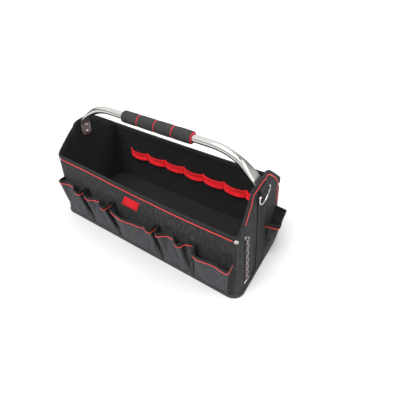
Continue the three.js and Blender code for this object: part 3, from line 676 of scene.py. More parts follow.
def stitch_part(path, normals, stitch, gap, width):
    """A row of stitches on the cloth: short threads that arch from hole to hole."""
    total = distances(path)[-1]
    number = max(1, round(total / (stitch + gap)))
    middles = (np.arange(number) + 0.5) * total / number
    half = (total / number - gap) / 2
    centre = sampled(path, middles)
    ends = sampled(path, np.minimum(middles + half, total))
    ahead = unit(ends - sampled(path, np.maximum(middles - half, 0)))
    along = distances(path)
    normals = np.broadcast_to(normals, path.shape)
    up = np.stack([np.interp(middles, along, normals[:, axis]) for axis in range(3)], axis=1)
    across = unit(np.cross(up, ahead))
    up = np.cross(ahead, across)
    angle = round_angles(STITCH_SIDES)
    lift = STITCH_ARCH * width * (1.0 - STITCH_RINGS ** 2)
    sideways = STITCH_GIRTH[:, None] * np.cos(angle) * width / 2
    upward = STITCH_GIRTH[:, None] * np.sin(angle) * width * STITCH_THICKNESS + lift[:, None]
    parts = []
    for spot, front, side, normal in zip(centre, ahead, across, up):
        grid = spot + STITCH_RINGS[:, None, None] * half * front
        grid = grid + sideways[..., None] * side + upward[..., None] * normal
        parts.append(grid_part(grid, False))
    return parts


# Edges that bend more than this stay sharp.
SHARP_FROM = math.radians(55)


def add_piece(name, parts, finishes, body="bag", replaces=()):
    """Joins parts into one named piece that rides a body and stands for CAD nodes."""
    points, faces, finish, cloth, fade = [], [], [], [], []
    offset = 0
    for part in parts:
        points.append(part.points)
        faces.extend((part.quads + offset).tolist())
        faces.extend((part.tris + offset).tolist())
        finish.append(part.finish)
        cloth.append(part.cloth.reshape(-1, 2))
        cloth.append(part.points[part.tris][:, :, :2].reshape(-1, 2))
        fade.append(part.fade)
        offset += len(part.points)
    mesh = bpy.data.meshes.new(name)
    mesh.from_pydata(np.concatenate(points).tolist(), [], faces)
    corner_places = np.concatenate(cloth)
    places = np.zeros((len(corner_places), 3), np.float32)
    places[:, :2] = corner_places
    mesh.attributes.new("cloth", "FLOAT_VECTOR", "CORNER").data.foreach_set("vector", places.ravel())
    wear = np.concatenate(fade).astype(np.float32)
    mesh.attributes.new("fade", "FLOAT", "POINT").data.foreach_set("value", wear)
    for finish_name in finishes:
        mesh.materials.append(finish_of(finish_name))
    mesh.polygons.foreach_set("material_index", np.concatenate(finish).astype(np.int32))
    mesh.shade_smooth()
    mesh.set_sharp_from_angle(angle=SHARP_FROM)
    mesh.update()
    if mesh.validate():
        raise RuntimeError(f"{name} has faces that Blender had to mend")
    piece = bpy.data.objects.new(name, mesh)
    bpy.context.scene.collection.objects.link(piece)
    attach(piece, body)
    if replaces:
        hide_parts(*replaces)
    return piece


# Finishes

class Finish:
    """A material and the nodes that lead to its shader."""

    def __init__(self, name):
        self.material = bpy.data.materials.new(name)
        self.material.use_nodes = True
        self.tree = self.material.node_tree
        self.tree.nodes.clear()
        self.shader = self.add("ShaderNodeBsdfPrincipled")
        output = self.add("ShaderNodeOutputMaterial")
        self.tree.links.new(self.shader.outputs[0], output.inputs["Surface"])

    def add(self, kind, options=None, inputs=None):
        node = self.tree.nodes.new(kind)
        for key, value in (options or {}).items():
            setattr(node, key, value)
        for key, value in (inputs or {}).items():
            self.feed(node.inputs[key], value)
        return node

    def feed(self, socket, value):
        if isinstance(value, bpy.types.NodeSocket):
            self.tree.links.new(value, socket)
        else:
            socket.default_value = value

    def set(self, **values):
        """Sets the shader's own sockets; underscores stand for spaces."""
        for key, value in values.items():
            self.feed(self.shader.inputs[key.replace("_", " ")], value)

    def math(self, operation, first, second=0.0):
        return self.add("ShaderNodeMath", {"operation": operation}, {0: first, 1: second}).outputs[0]

    def mix(self, share, first, second):
        node = self.add("ShaderNodeMix", {"data_type": "RGBA"}, {0: share, 6: first, 7: second})
        return node.outputs[2]

    def ranged(self, value, low, high, to_low, to_high):
        node = self.add("ShaderNodeMapRange", {}, {0: value, 1: low, 2: high, 3: to_low, 4: to_high})
        return node.outputs[0]

    def places(self):
        return self.add("ShaderNodeTexCoord").outputs["Object"]

    def stretched(self, vector, scale):
        return self.add("ShaderNodeVectorMath", {"operation": "MULTIPLY"}, {0: vector, 1: scale}).outputs[0]

    def cloth_places(self):
        return self.add("ShaderNodeAttribute", {"attribute_name": "cloth"}).outputs["Vector"]

    def wear(self):
        return self.add("ShaderNodeAttribute", {"attribute_name": "fade"}).outputs["Fac"]

    def noise(self, vector, size, detail, roughness):
        inputs = {"Vector": vector, "Scale": 1.0 / size, "Detail": detail, "Roughness": roughness}
        return self.add("ShaderNodeTexNoise", {}, inputs).outputs[0]

    def bump(self, height, depth, strength, below=None):
        inputs = {"Height": height, "Distance": depth, "Strength": strength}
        if below is not None:
            inputs["Normal"] = below
        return self.add("ShaderNodeBump", {}, inputs).outputs[0]

    def weave(self, thread):
        """Height of a plain weave of round threads, from 0 to 1."""
        wave = self.stretched(self.cloth_places(), (math.pi / thread,) * 3)
        parts = self.add("ShaderNodeSeparateXYZ", {}, {0: wave})
        sine_x = self.math("SINE", parts.outputs[0])
        sine_y = self.math("SINE", parts.outputs[1])
        warp = self.math("ABSOLUTE", sine_x)
        weft = self.math("ABSOLUTE", sine_y)
        over = self.math("GREATER_THAN", self.math("MULTIPLY", sine_x, sine_y), 0.0)
        warp_top = self.math("MULTIPLY", warp, self.ranged(weft, 0.0, 1.0, 0.5, 1.0))
        weft_top = self.math("MULTIPLY", weft, self.ranged(warp, 0.0, 1.0, 0.5, 1.0))
        chosen = self.add("ShaderNodeMix", {"data_type": "FLOAT"}, {0: over, 2: weft_top, 3: warp_top})
        return chosen.outputs[0]

    def ribs(self, rib, axis):
        """Height of even ribs across one direction of the cloth, from 0 to 1."""
        wave = self.stretched(self.cloth_places(), (math.pi / rib,) * 3)
        parts = self.add("ShaderNodeSeparateXYZ", {}, {0: wave})
        return self.math("ABSOLUTE", self.math("SINE", parts.outputs[axis]))


def rgba(values, gain=1.0):
    """A colour for a socket, made lighter or darker."""
    return (*[min(1.0, value * gain) for value in values], 1.0)


# Sizes of the noises in cloth, thread, foam, metal and floor, in that order.
SLUB_SIZE = 5.0 * MM
MOTTLE_SIZE = 34 * MM
TWIST_SIZE = 0.7 * MM
FRAY_SIZE = 9 * MM
PORE_SIZE = 1.3 * MM
SKIN_SIZE = 0.9 * MM
PATCH_SIZE = 22 * MM
STREAK_SIZE = 1.5 * MM
SMUDGE_SIZE = 26 * MM
FLOOR_SIZE = 180 * MM


def cloth_finish(name, base, thread, relief, sheen, rib_axis=None, dust=0.35, grain=0.4):
    """Woven cloth: threads, coarse upright slubs, mottling, pale wear on ridges and a soft sheen."""
    made = Finish(name)
    threads = made.weave(thread) if rib_axis is None else made.ribs(thread, rib_axis)
    slubs = made.noise(made.stretched(made.cloth_places(), (1.0, 0.3, 1.0)), SLUB_SIZE, 2.0, 0.6)
    mottle = made.noise(made.places(), MOTTLE_SIZE, 3.0, 0.6)
    shade = made.mix(threads, rgba(base, 0.60), rgba(base, 1.15))
    shade = made.mix(made.ranged(slubs, 0.34, 0.5, grain, 0.0), shade, rgba(base, 0.25))
    shade = made.mix(made.ranged(slubs, 0.5, 0.66, 0.0, grain), shade, rgba(base, 2.3))
    shade = made.mix(made.ranged(mottle, 0.35, 0.7, 0.0, 0.45), shade, rgba(base, 1.25))
    shade = made.mix(made.math("MULTIPLY", made.wear(), dust), shade, rgba(base, 2.3))
    rough = made.ranged(slubs, 0.2, 0.8, 0.78, 0.95)
    normal = made.bump(slubs, 0.5 * MM, 0.5)
    normal = made.bump(threads, relief, 0.8, normal)
    made.set(Base_Color=shade, Roughness=rough, Normal=normal)
    made.set(Sheen_Weight=sheen, Sheen_Roughness=0.45, Specular_IOR_Level=0.28)
    made.set(Sheen_Tint=rgba((0.8, 0.82, 0.86)))
    return made.material


def thread_finish(name, base):
    """Twisted sewing thread with a slight gloss."""
    made = Finish(name)
    twist = made.noise(made.places(), TWIST_SIZE, 2.0, 0.6)
    fray = made.noise(made.places(), FRAY_SIZE, 2.0, 0.5)
    shade = made.mix(made.ranged(twist, 0.3, 0.7, 0.0, 1.0), rgba(base, 0.78), rgba(base, 1.1))
    shade = made.mix(made.ranged(fray, 0.45, 0.75, 0.0, 0.35), shade, rgba(base, 0.68))
    made.set(Base_Color=shade, Roughness=made.ranged(twist, 0.2, 0.8, 0.42, 0.62))
    made.set(Normal=made.bump(twist, 0.2 * MM, 0.6), Sheen_Weight=0.2, Specular_IOR_Level=0.4)
    return made.material


def foam_finish(name, base):
    """Closed-cell foam: fine open pores over a matt skin."""
    made = Finish(name)
    pores = {"Vector": made.places(), "Scale": 1.0 / PORE_SIZE}
    cells = made.add("ShaderNodeTexVoronoi", {}, pores).outputs[0]
    grain = made.noise(made.places(), SKIN_SIZE, 3.0, 0.7)
    patches = made.noise(made.places(), PATCH_SIZE, 3.0, 0.6)
    shade = made.mix(made.ranged(cells, 0.1, 0.7, 0.0, 1.0), rgba(base, 1.25), rgba(base, 0.75))
    shade = made.mix(made.ranged(patches, 0.4, 0.7, 0.0, 0.45), shade, rgba(base, 1.5))
    made.set(Base_Color=shade, Roughness=made.ranged(grain, 0.2, 0.8, 0.74, 0.96))
    normal = made.bump(grain, 0.3 * MM, 0.5)
    made.set(Normal=made.bump(cells, 0.4 * MM, 0.55, normal), Specular_IOR_Level=0.35)
    return made.material


def metal_finish(name, base, smooth, dull, streak, pressed):
    """Polished metal: fine drawn streaks, smudges, small scratches and duller pressed places."""
    made = Finish(name)
    drawn = made.noise(made.stretched(made.places(), streak), STREAK_SIZE, 4.0, 0.7)
    smudge = made.noise(made.places(), SMUDGE_SIZE, 4.0, 0.6)
    shade = made.mix(made.ranged(smudge, 0.35, 0.75, 0.0, 0.6), rgba(base), rgba(base, 0.84))
    shade = made.mix(made.ranged(drawn, 0.45, 0.8, 0.0, 0.35), shade, rgba(base, 0.72))
    rough = made.ranged(drawn, 0.3, 0.7, smooth, dull)
    rough = made.math("ADD", rough, made.ranged(smudge, 0.4, 0.8, 0.0, 0.08))
    rough = made.math("ADD", rough, made.math("MULTIPLY", made.wear(), pressed))
    made.set(Base_Color=shade, Roughness=rough, Metallic=1.0)
    made.set(Normal=made.bump(drawn, 0.01 * MM, 0.1))
    return made.material


def floor_finish(name, base):
    """Plain pale studio floor."""
    made = Finish(name)
    grain = made.noise(made.places(), FLOOR_SIZE, 2.0, 0.5)
    shade = made.mix(made.ranged(grain, 0.3, 0.7, 0.0, 1.0), rgba(base, 0.995), rgba(base, 1.005))
    made.set(Base_Color=shade, Roughness=made.ranged(grain, 0.3, 0.7, 0.86, 0.9), Specular_IOR_Level=0.1)
    return made.material


# One row for each colour that can be set: what makes its finish, the material's name and its details. Cloth
# has thread, relief, sheen, axis of its ribs, dust and grain. Metal has its least and most roughness, the
# stretch of its streaks and the roughness of pressed places.
FINISHES = {
    "hem": (cloth_finish, "bag_hem", 1.1 * MM, 0.45 * MM, 0.03),
    "canvas": (cloth_finish, "bag_canvas", 1.1 * MM, 0.45 * MM, 0.04, None, 0.35, 0.8),
    "lining": (cloth_finish, "bag_lining", 0.9 * MM, 0.35 * MM, 0.02),
    "pocket": (cloth_finish, "bag_pocket_cloth", 0.85 * MM, 0.35 * MM, 0.05),
    "tape": (cloth_finish, "bag_binding_tape", 1.1 * MM, 0.35 * MM, 0.03, 0),
    "webbing": (cloth_finish, "bag_webbing", 2.1 * MM, 0.6 * MM, 0.03, 0),
    "elastic": (cloth_finish, "bag_elastic", 1.5 * MM, 0.4 * MM, 0.03, 1, 0.1),
    "label": (cloth_finish, "bag_label", 0.7 * MM, 0.25 * MM, 0.03, None, 0.1),
    "thread": (thread_finish, "bag_red_thread"),
    "plain_thread": (thread_finish, "bag_plain_thread"),
    "foam": (foam_finish, "bag_foam"),
    "ring": (foam_finish, "bag_grip_ring"),
    "steel": (metal_finish, "bag_steel", 0.05, 0.11, (0.05, 1.0, 1.0), 0.3),
    "chain": (metal_finish, "bag_chain", 0.2, 0.36, (1.0, 1.0, 0.4), 0.0),
    "nickel": (metal_finish, "bag_nickel", 0.12, 0.26, (1.0, 1.0, 0.4), 0.2),
    "floor": (floor_finish, "studio_floor"),
}
made_finishes = {}


def finish_of(name):
    """The material of a finish, made when it is first asked for."""
    if name not in made_finishes:
        make, title, *details = FINISHES[name]
        tint = getattr(bpy.context.scene.tool_bag.colours, name)
        made_finishes[name] = make(title, tint, *details)
    return made_finishes[name]


# Shell of the bag

# One row of the wall's cross-section: its share of the height under the hem, or its depth under the rim,
# its stand-off, and 1 on the outside or -1 on the inside.
ShellRow = namedtuple("ShellRow", "share depth out side")
ShellGrid = namedtuple("ShellGrid", "points rows")
WALL_ROWS = 24
HEM_STEP = 1.3 * MM
HEM_EASING = 4
HEM_DEPTHS = (5.5 * MM, 3.2 * MM)
RIM_STEPS = 8
LONG_COLUMNS = 124
CORNER_COLUMNS = 14
FLANK_COLUMNS = 62
# Where the lapped cloth at a corner rises and falls, in degrees round the corner.
LAP_RISE = (42, 46)
LAP_FALL = (50, 62)

# One row is one run of columns round the bag, in order: a long wall, an end or a corner.
ShellRun = namedtuple("ShellRun", "kind end face forward columns")
SHELL_RUNS = [
    ShellRun("long", 0, -1, True, LONG_COLUMNS),
    ShellRun("corner", 1, -1, False, CORNER_COLUMNS),
    ShellRun("flank", 1, 0, True, FLANK_COLUMNS),
    ShellRun("corner", 1, 1, True, CORNER_COLUMNS),
    ShellRun("long", 0, 1, False, LONG_COLUMNS),
    ShellRun("corner", -1, 1, False, CORNER_COLUMNS),
    ShellRun("flank", -1, 0, False, FLANK_COLUMNS),
    ShellRun("corner", -1, -1, True, CORNER_COLUMNS),
]


def shell_rows(body):
    """The wall's cross-section from its outer foot, over the rim, to its inner foot."""
    rim = body.wall / 2 + body.hem_swell
    shares = np.linspace(0.0, 1.0, WALL_ROWS)
    depths = [body.hem, body.hem_stitch, *HEM_DEPTHS]
    outside = [ShellRow(share, None, 0.0, 1) for share in shares]
    outside += [ShellRow(None, depth, body.hem_swell, 1) for depth in depths]
    inside = [ShellRow(None, depth, -body.wall - body.hem_swell, -1) for depth in reversed(depths)]
    inside += [ShellRow(share, None, -body.wall, -1) for share in reversed(shares)]
    over = []
    for angle in np.linspace(0.0, np.pi, RIM_STEPS + 1):
        out = -body.wall / 2 + rim * math.cos(angle)
        over.append(ShellRow(None, rim - rim * math.sin(angle), out, 1 if angle < QUARTER_TURN else -1))
    return outside + over + inside


def run_shares(run):
    """Shares of the way along one run, one for each of its columns."""
    share = np.arange(run.columns) / run.columns
    return share if run.forward else 1.0 - share


def run_points(plan, run, z, out):
    """Points over one run of columns at heights and stand-offs."""
    share = run_shares(run)
    if run.kind == "long":
        return plan.long_point(run.face, share, z, out)
    if run.kind == "flank":
        return plan.flank_point(run.end, np.broadcast_to(share, z.shape), z, out)
    return plan.corner_point(run.end, run.face, z, share * QUARTER_TURN, out)


def run_edge(plan, run):
    """The top edge over one run of columns."""
    edge = run_points(plan, run, np.full(run.columns, plan.body.rim_height), 0.0)
    if run.kind == "long":
        edge[:, 2] = plan.long_top(run.face, run_shares(run))
    else:
        edge[:, 2] = plan.end_top(run.end, edge[:, 1])
    return edge


def hem_stretch(edge):
    """How much longer a hem's depth is straight down than square to its edge, round the whole bag."""
    ahead = np.roll(edge, -1, axis=0) - np.roll(edge, 1, axis=0)
    stretch = np.hypot(1.0, ahead[:, 2] / np.linalg.norm(ahead[:, :2], axis=1))
    for _ in range(HEM_EASING):
        stretch = (np.roll(stretch, 1) + 2.0 * stretch + np.roll(stretch, -1)) / 4
    return stretch


def run_block(plan, run, rows, edge, stretch):
    """The points of one run of columns: rows of the cross-section by columns."""
    body = plan.body
    place = edge[:, 0] if run.kind == "long" else edge[:, 1]
    top = edge[:, 2]
    heights, outs = [], []
    for row in rows:
        reach = top - (body.hem + HEM_STEP) * stretch - body.foot
        z = top - row.depth * stretch if row.share is None else body.foot + row.share * reach
        out = np.full(run.columns, row.out)
        if run.kind == "long" and run.face < 0:
            out = out + front_relief(body, place, z)
        if run.kind == "long" and run.face > 0:
            out = out + back_relief(body, place, z)
            if row.side < 0:
                out = out + back_lining_relief(body, place, z)
        if run.kind == "flank":
            out = out + flank_relief(body, place, z)
            if row.side < 0 and row.share is not None:
                out = out + lining_relief(body, place, z)
        if run.kind == "corner" and row.side > 0:
            degrees = np.degrees(run_shares(run) * QUARTER_TURN)
            lapped = smooth_step(degrees, *LAP_RISE) * (1.0 - smooth_step(degrees, *LAP_FALL))
            out = out + body.lap * lapped
        heights.append(z)
        outs.append(out)
    return run_points(plan, run, np.array(heights), np.array(outs))


def shell_grid(plan):
    """The whole wall as rows of the cross-section by columns round the bag."""
    rows = shell_rows(plan.body)
    edge = np.concatenate([run_edge(plan, run) for run in SHELL_RUNS])
    stretch = hem_stretch(edge)
    blocks = []
    for index, run in enumerate(SHELL_RUNS):
        columns = slice(run_start(index), run_start(index + 1))
        blocks.append(run_block(plan, run, rows, edge[columns], stretch[columns]))
    return ShellGrid(np.concatenate(blocks, axis=1), rows)


def run_start(index):
    """First column of a run."""
    return sum(run.columns for run in SHELL_RUNS[:index])


def row_depth(row):
    """Depth under the rim of a row of the cross-section, large where it is set by share."""
    return 1.0 if row.depth is None else row.depth


class SewShell(Operator):
    """Lofts the padded canvas walls as one shell that bows, sags and creases, with a folded hem"""

    bl_idname = "toolbag.sew_shell"
    bl_label = "Sew shell"

    def execute(self, context):
        bag = context.scene.tool_bag
        plan = BagPlan(bag.body)
        grid = shell_grid(plan)
        side = np.array([row.side for row in grid.rows])
        depth = np.array([row_depth(row) for row in grid.rows])
        finish = np.where(side > 0, 0, 1)
        # The band above the hem's stitch row, over the rim, takes the darker hem colour as painted shade.
        finish[depth <= bag.body.hem_stitch] = 2
        part = grid_part(grid.points, True, finish)
        shell = add_piece("bag_shell", [part], ["canvas", "lining", "hem"],
                          replaces=("front_wall", "back_wall", "end_wall_right", "end_wall_left"))
        return {"FINISHED"}


# Base

class LayBase(Operator):
    """Lays the stiff floor board and the bound edge round the base"""

    bl_idname = "toolbag.lay_base"
    bl_label = "Lay base"

    corner_steps = 14
    ring_step = 9 * MM
    board_rings = (16 * MM, 11 * MM, 6 * MM)
    board_inset = 3.6 * MM
    board_rounding = 1.2 * MM
    board_bevel = 0.6 * MM
    crown_inset = 0.42 * MM
    crown_drop = 0.1 * MM
    # Stand-off and height of the tape's section (mm).
    tape_rise = 7.6
    tape_section = ((0.3, 0.0), (1.6, 0.0), (2.7, 0.35), (3.2, 1.4), (3.2, 3.4), (3.0, 5.2),
                    (2.3, 6.6), (1.4, 7.4), (0.3, 7.6))

    def execute(self, context):
        plan = BagPlan(context.scene.tool_bag.body)
        low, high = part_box("base_panel")
        rings = [(inset, high.z) for inset in self.board_rings]
        rings += [(self.crown_inset, high.z - self.crown_drop), (0.0, high.z - self.board_rounding)]
        rings += [(0.0, low.z + self.board_bevel), (self.board_bevel, low.z)]
        rings += [(inset, low.z) for inset in reversed(self.board_rings)]
        grid = np.array([self.ring(plan, -(self.board_inset + inset), z) for inset, z in rings])
        part = grid_part(grid, False).lay_flat()
        board = add_piece("floor_board", [part], ["lining"], replaces=("base_panel",))
        low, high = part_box("base_binding")
        tape = [self.ring(plan, out * MM, z / self.tape_rise * high.z) for out, z in self.tape_section]
        tape = np.array(tape).transpose(1, 0, 2)
        # The tape takes the lighter pocket colour instead of black: a painted highlight along its rounded
        # top.
        binding = add_piece("base_tape", [grid_part(tape, True)], ["pocket"],
                            replaces=("base_binding",))
        return {"FINISHED"}

    def ring(self, plan, grow, z):
        """One ring of the base's plan, grown outward, at a height."""
        points = []
        corners = ((1, 1, 0.0, QUARTER_TURN), (-1, 1, QUARTER_TURN, 0.0),
                   (-1, -1, 0.0, QUARTER_TURN), (1, -1, QUARTER_TURN, 0.0))
        for end, face, first, last in corners:
            angle = np.linspace(first, last, self.corner_steps)
            corner = plan.corner_point(end, face, np.zeros(self.corner_steps), angle, grow)
            points.append(corner)
        closed = np.concatenate(points + [points[0][:1]])
        ring = np.concatenate([self.filled(closed[i], closed[i + 1]) for i in range(len(closed) - 1)])
        ring[:, 2] = z
        return ring

    def filled(self, first, last):
        """A stretch of the ring with points at even steps."""
        steps = max(1, round(float(np.linalg.norm(last - first)) / self.ring_step))
        return lerp(first, last, np.arange(steps)[:, None] / steps)


# Pockets

POCKET_COLUMNS = 104
POCKET_ROWS = 40
TAPE_ROWS = 7
TAPE_STEP = 0.4 * MM
PROFILE_POINTS = 6 * POCKET_COLUMNS
# Rows and columns that are sewn down while the cloth settles.
SEWN_ROWS = 3
SEWN_HEM_ROWS = TAPE_ROWS + 2
SEWN_COLUMNS = 4
CLOTH_NATURE = {
    "quality": 8,
    "mass": 0.12,
    "tension_stiffness": 30.0,
    "compression_stiffness": 30.0,
    "shear_stiffness": 12.0,
    "bending_stiffness": 1.2,
    "air_damping": 2.0,
    "vertex_group_mass": "sewn",
}
CLOTH_GRAVITY = 0.4
EVENING_PASSES = 3
EVENING_SHARE = 0.5
# Share of its stand-off that the cloth may settle inward.
CLEAR_SHARE = 0.75
# Thickness at the hem's last two rows and at the outer columns, and wear on ridges and on the hem.
HEM_TIP = 0.45
HEM_EASE = 0.9
SIDE_TAPER = (0.4, 0.8)
POCKET_RIDGE = 0.06 * MM
HEM_WEAR = 0.6
# Rows or columns beside the edges of a grid, and the part of a path that keeps clear of its ends.
BESIDE_EDGES = (2, -3)
CLEAR_OF_ENDS = slice(2, -2)
BOTTOM_SEAMS = (1, 3)


def eased(knots, at):
    """A profile through knots of (place, height), eased between them."""
    value = np.full(at.shape, float(knots[0][1]))
    for (start, low), (end, high) in zip(knots[:-1], knots[1:]):
        value = np.where(at >= start, lerp(low, high, smooth_step(at, start, end)), value)
    return value


def pocket_heights(pockets, hem):
    """Shares of the pocket's height for its rows, closer together in the taped hem."""
    tape_from = 1.0 - pockets.tape / (hem - pockets.bottom)
    body = np.linspace(0.0, tape_from, POCKET_ROWS)
    band = np.linspace(tape_from, 1.0, TAPE_ROWS + 1)[1:]
    return np.concatenate([body, [tape_from + TAPE_STEP / (hem - pockets.bottom)], band])


def pocket_grid(pockets, cut, hem, place):
    """The middle of a pocket's cloth, its stand-off from the wall and each column's place in the hem."""
    bends = [(cut.left + pockets.seam / MM, 0.0), *cut.bends, (cut.right - pockets.seam / MM, 0.0)]
    along = np.linspace(cut.left * MM + pockets.gap, cut.right * MM - pockets.gap, PROFILE_POINTS)
    profile = np.stack([along, MM * eased(bends, along / MM)], axis=1)
    profile = resampled(profile, POCKET_COLUMNS)[None, :]
    share = pocket_heights(pockets, hem)[:, None]
    off = profile[..., 1] * share ** pockets.flare
    from_seam = np.minimum(profile[..., 0] - cut.left * MM, cut.right * MM - profile[..., 0])
    drop = pockets.dip * np.exp(-(from_seam / pockets.dip_reach) ** 2) * share ** 2
    z = lerp(pockets.bottom, hem, share) - drop
    places = profile[..., 0] / MM
    leaning = np.interp(places, [cut.left, cut.fold, cut.right], [cut.feet[0], cut.lean, cut.feet[1]])
    stops = [cut.left, cut.bends[0][0], cut.fold, cut.right]
    tucked = np.interp(places, stops, [cut.tucks[0], 0.0, 0.0, cut.tucks[1]])
    along = (places + leaning * (1.0 - share) + tucked * share) * MM
    return place(along, z, off + pockets.gap + pockets.cloth / 2), off, profile[0, :, 0]


def settled(pockets, grids, offs):
    """The pockets' cloth after a simulation in which its slack falls into wrinkles between its seams."""
    scene = bpy.context.scene
    points = np.concatenate([grid.reshape(-1, 3) for grid in grids])
    faces, held, offset = [], [], 0
    for grid in grids:
        rows, columns = grid.shape[:2]
        quads = cell_quads(cell_corners(rows - 1, columns - 1), rows, columns)
        faces.extend((quads + offset).tolist())
        sewn = np.ones((rows, columns), bool)
        sewn[SEWN_ROWS:rows - SEWN_HEM_ROWS, SEWN_COLUMNS:columns - SEWN_COLUMNS] = False
        held.extend((np.flatnonzero(sewn) + offset).tolist())
        offset += rows * columns
    mesh = bpy.data.meshes.new("loose_cloth")
    mesh.from_pydata(points.tolist(), [], faces)
    loose = bpy.data.objects.new("loose_cloth", mesh)
    scene.collection.objects.link(loose)
    loose.vertex_groups.new(name="sewn").add(held, 1.0, "REPLACE")
    cloth = loose.modifiers.new("settle", "CLOTH")
    for key, value in CLOTH_NATURE.items():
        setattr(cloth.settings, key, value)
    cloth.settings.shrink_min = -pockets.slack
    cloth.settings.effector_weights.gravity = CLOTH_GRAVITY
    cloth.point_cache.frame_start = 1
    cloth.point_cache.frame_end = pockets.settle_frames
    for step in range(1, pockets.settle_frames + 1):
        scene.frame_set(step)
    evaluated = loose.evaluated_get(bpy.context.evaluated_depsgraph_get())
    moved = np.zeros(3 * len(points))
    evaluated.data.vertices.foreach_get("co", moved)
    scene.frame_set(1)
    bpy.data.objects.remove(loose)
    moved = moved.reshape(-1, 3)
    results, start = [], 0
    for grid, off in zip(grids, offs):
        end = start + grid.shape[0] * grid.shape[1]
        results.append(kept_clear(pockets, grid, off, moved[start:end].reshape(grid.shape)))
        start = end
    return results


def kept_clear(pockets, grid, off, moved):
    """The settled grid, evened out, limited in how far it moved and kept off the wall."""
    shift = moved - grid
    for _ in range(EVENING_PASSES):
        shift = lerp(shift, neighbours(shift), EVENING_SHARE)
    sizes = np.linalg.norm(shift, axis=2, keepdims=True)
    shift = shift * np.minimum(1.0, pockets.settle_limit / np.maximum(sizes, 1e-9))
    normals = grid_normals(grid)
    inward = -np.einsum("rck,rck->rc", shift, normals)
    spare = np.maximum(CLEAR_SHARE * off, 0.0)
    push = np.maximum(inward - spare, 0.0)
    return grid + shift + normals * push[..., None]


def pocket_part(pockets, cut, grid, along):
    """Pocket cloth: taped hem, painted shade in pleat and by seams, thickness, finishes, ridge wear."""
    rows = grid.shape[0]
    is_tape = np.arange(rows) >= rows - TAPE_ROWS - 1
    outward = np.full(rows, pockets.cloth / 2) + np.where(is_tape, pockets.tape_swell, 0.0)
    inward = np.full(rows, pockets.cloth / 2)
    outward[-1] *= HEM_TIP
    inward[-1] *= HEM_TIP
    outward[-2] *= HEM_EASE
    edge = tapered(grid.shape[1], *SIDE_TAPER)
    fade = ridges(grid, grid_normals(grid), POCKET_RIDGE)
    fade[-2:] = HEM_WEAR
    # The pleat's span and a strip by each side seam take the black tape finish: painted shade where shadow
    # falls.
    first, last = np.array(cut.gusset) * MM
    from_seam = np.minimum(along - cut.left * MM, cut.right * MM - along)
    is_painted_shade = (from_seam < pockets.painted_seam_shade) | ((along > first) & (along < last))
    taped_or_painted_shade = (is_tape[:, None] | is_painted_shade[None, :-1]).astype(int)
    return sheet_part(grid, outward[:, None] * edge, inward[:, None] * edge, taped_or_painted_shade, fade)


def sewn_line(grid, index, lift, thread):
    """Stitches along part of a row or column of a grid, lifted off the cloth."""
    normals = grid_normals(grid)
    return stitch_part((grid + normals * lift)[index], normals[index], *thread)


def pocket_stitches(thread, pockets, grid):
    """Contrast stitches under the hem's tape, and plain ones along the bottom and up the sides."""
    tape_row = POCKET_ROWS - 2
    lift = pockets.cloth / 2 + STITCH_LIFT
    hem = sewn_line(grid, (tape_row, CLEAR_OF_ENDS), lift, thread.contrast())
    plain = []
    for row in BOTTOM_SEAMS:
        plain += sewn_line(grid, (row, CLEAR_OF_ENDS), lift, thread.plain())
    for column in BESIDE_EDGES:
        plain += sewn_line(grid, (slice(2, tape_row - 1), column), lift, thread.plain())
    return hem, plain


class SewPockets(Operator):
    """Sews the pleated front pockets and the end pocket, with taped hems and stitches"""

    bl_idname = "toolbag.sew_pockets"
    bl_label = "Sew pockets"

    def execute(self, context):
        bag = context.scene.tool_bag
        pockets = bag.pockets
        plan = BagPlan(bag.body)
        names = [f"front_pocket_{index + 1}" for index in range(len(FRONT_POCKETS))] + ["end_pocket"]
        made = [pocket_grid(pockets, cut, pockets.hem, plan.front_point) for cut in FRONT_POCKETS]
        made.append(pocket_grid(pockets, END_POCKET, pockets.end_hem, plan.right_end_point))
        grids = settled(pockets, [grid for grid, _, _ in made], [off for _, off, _ in made])
        contrast, plain = [], []
        cuts = [*FRONT_POCKETS, END_POCKET]
        for name, cut, (cut_grid, _, along), grid in zip(names, cuts, made, grids):
            is_end = name == "end_pocket"
            finishes = ["canvas" if is_end else "pocket", "tape"]
            piece = add_piece(f"{name}_cloth", [pocket_part(pockets, cut, grid, along)], finishes,
                              replaces=(name,))
            hem_stitches, plain_stitches = pocket_stitches(bag.thread, pockets, grid)
            contrast += hem_stitches
            plain += plain_stitches
        add_piece("pocket_hem_stitches", contrast, ["thread"])
        add_piece("pocket_seam_stitches", plain, ["plain_thread"])
        return {"FINISHED"}


# Tool loops

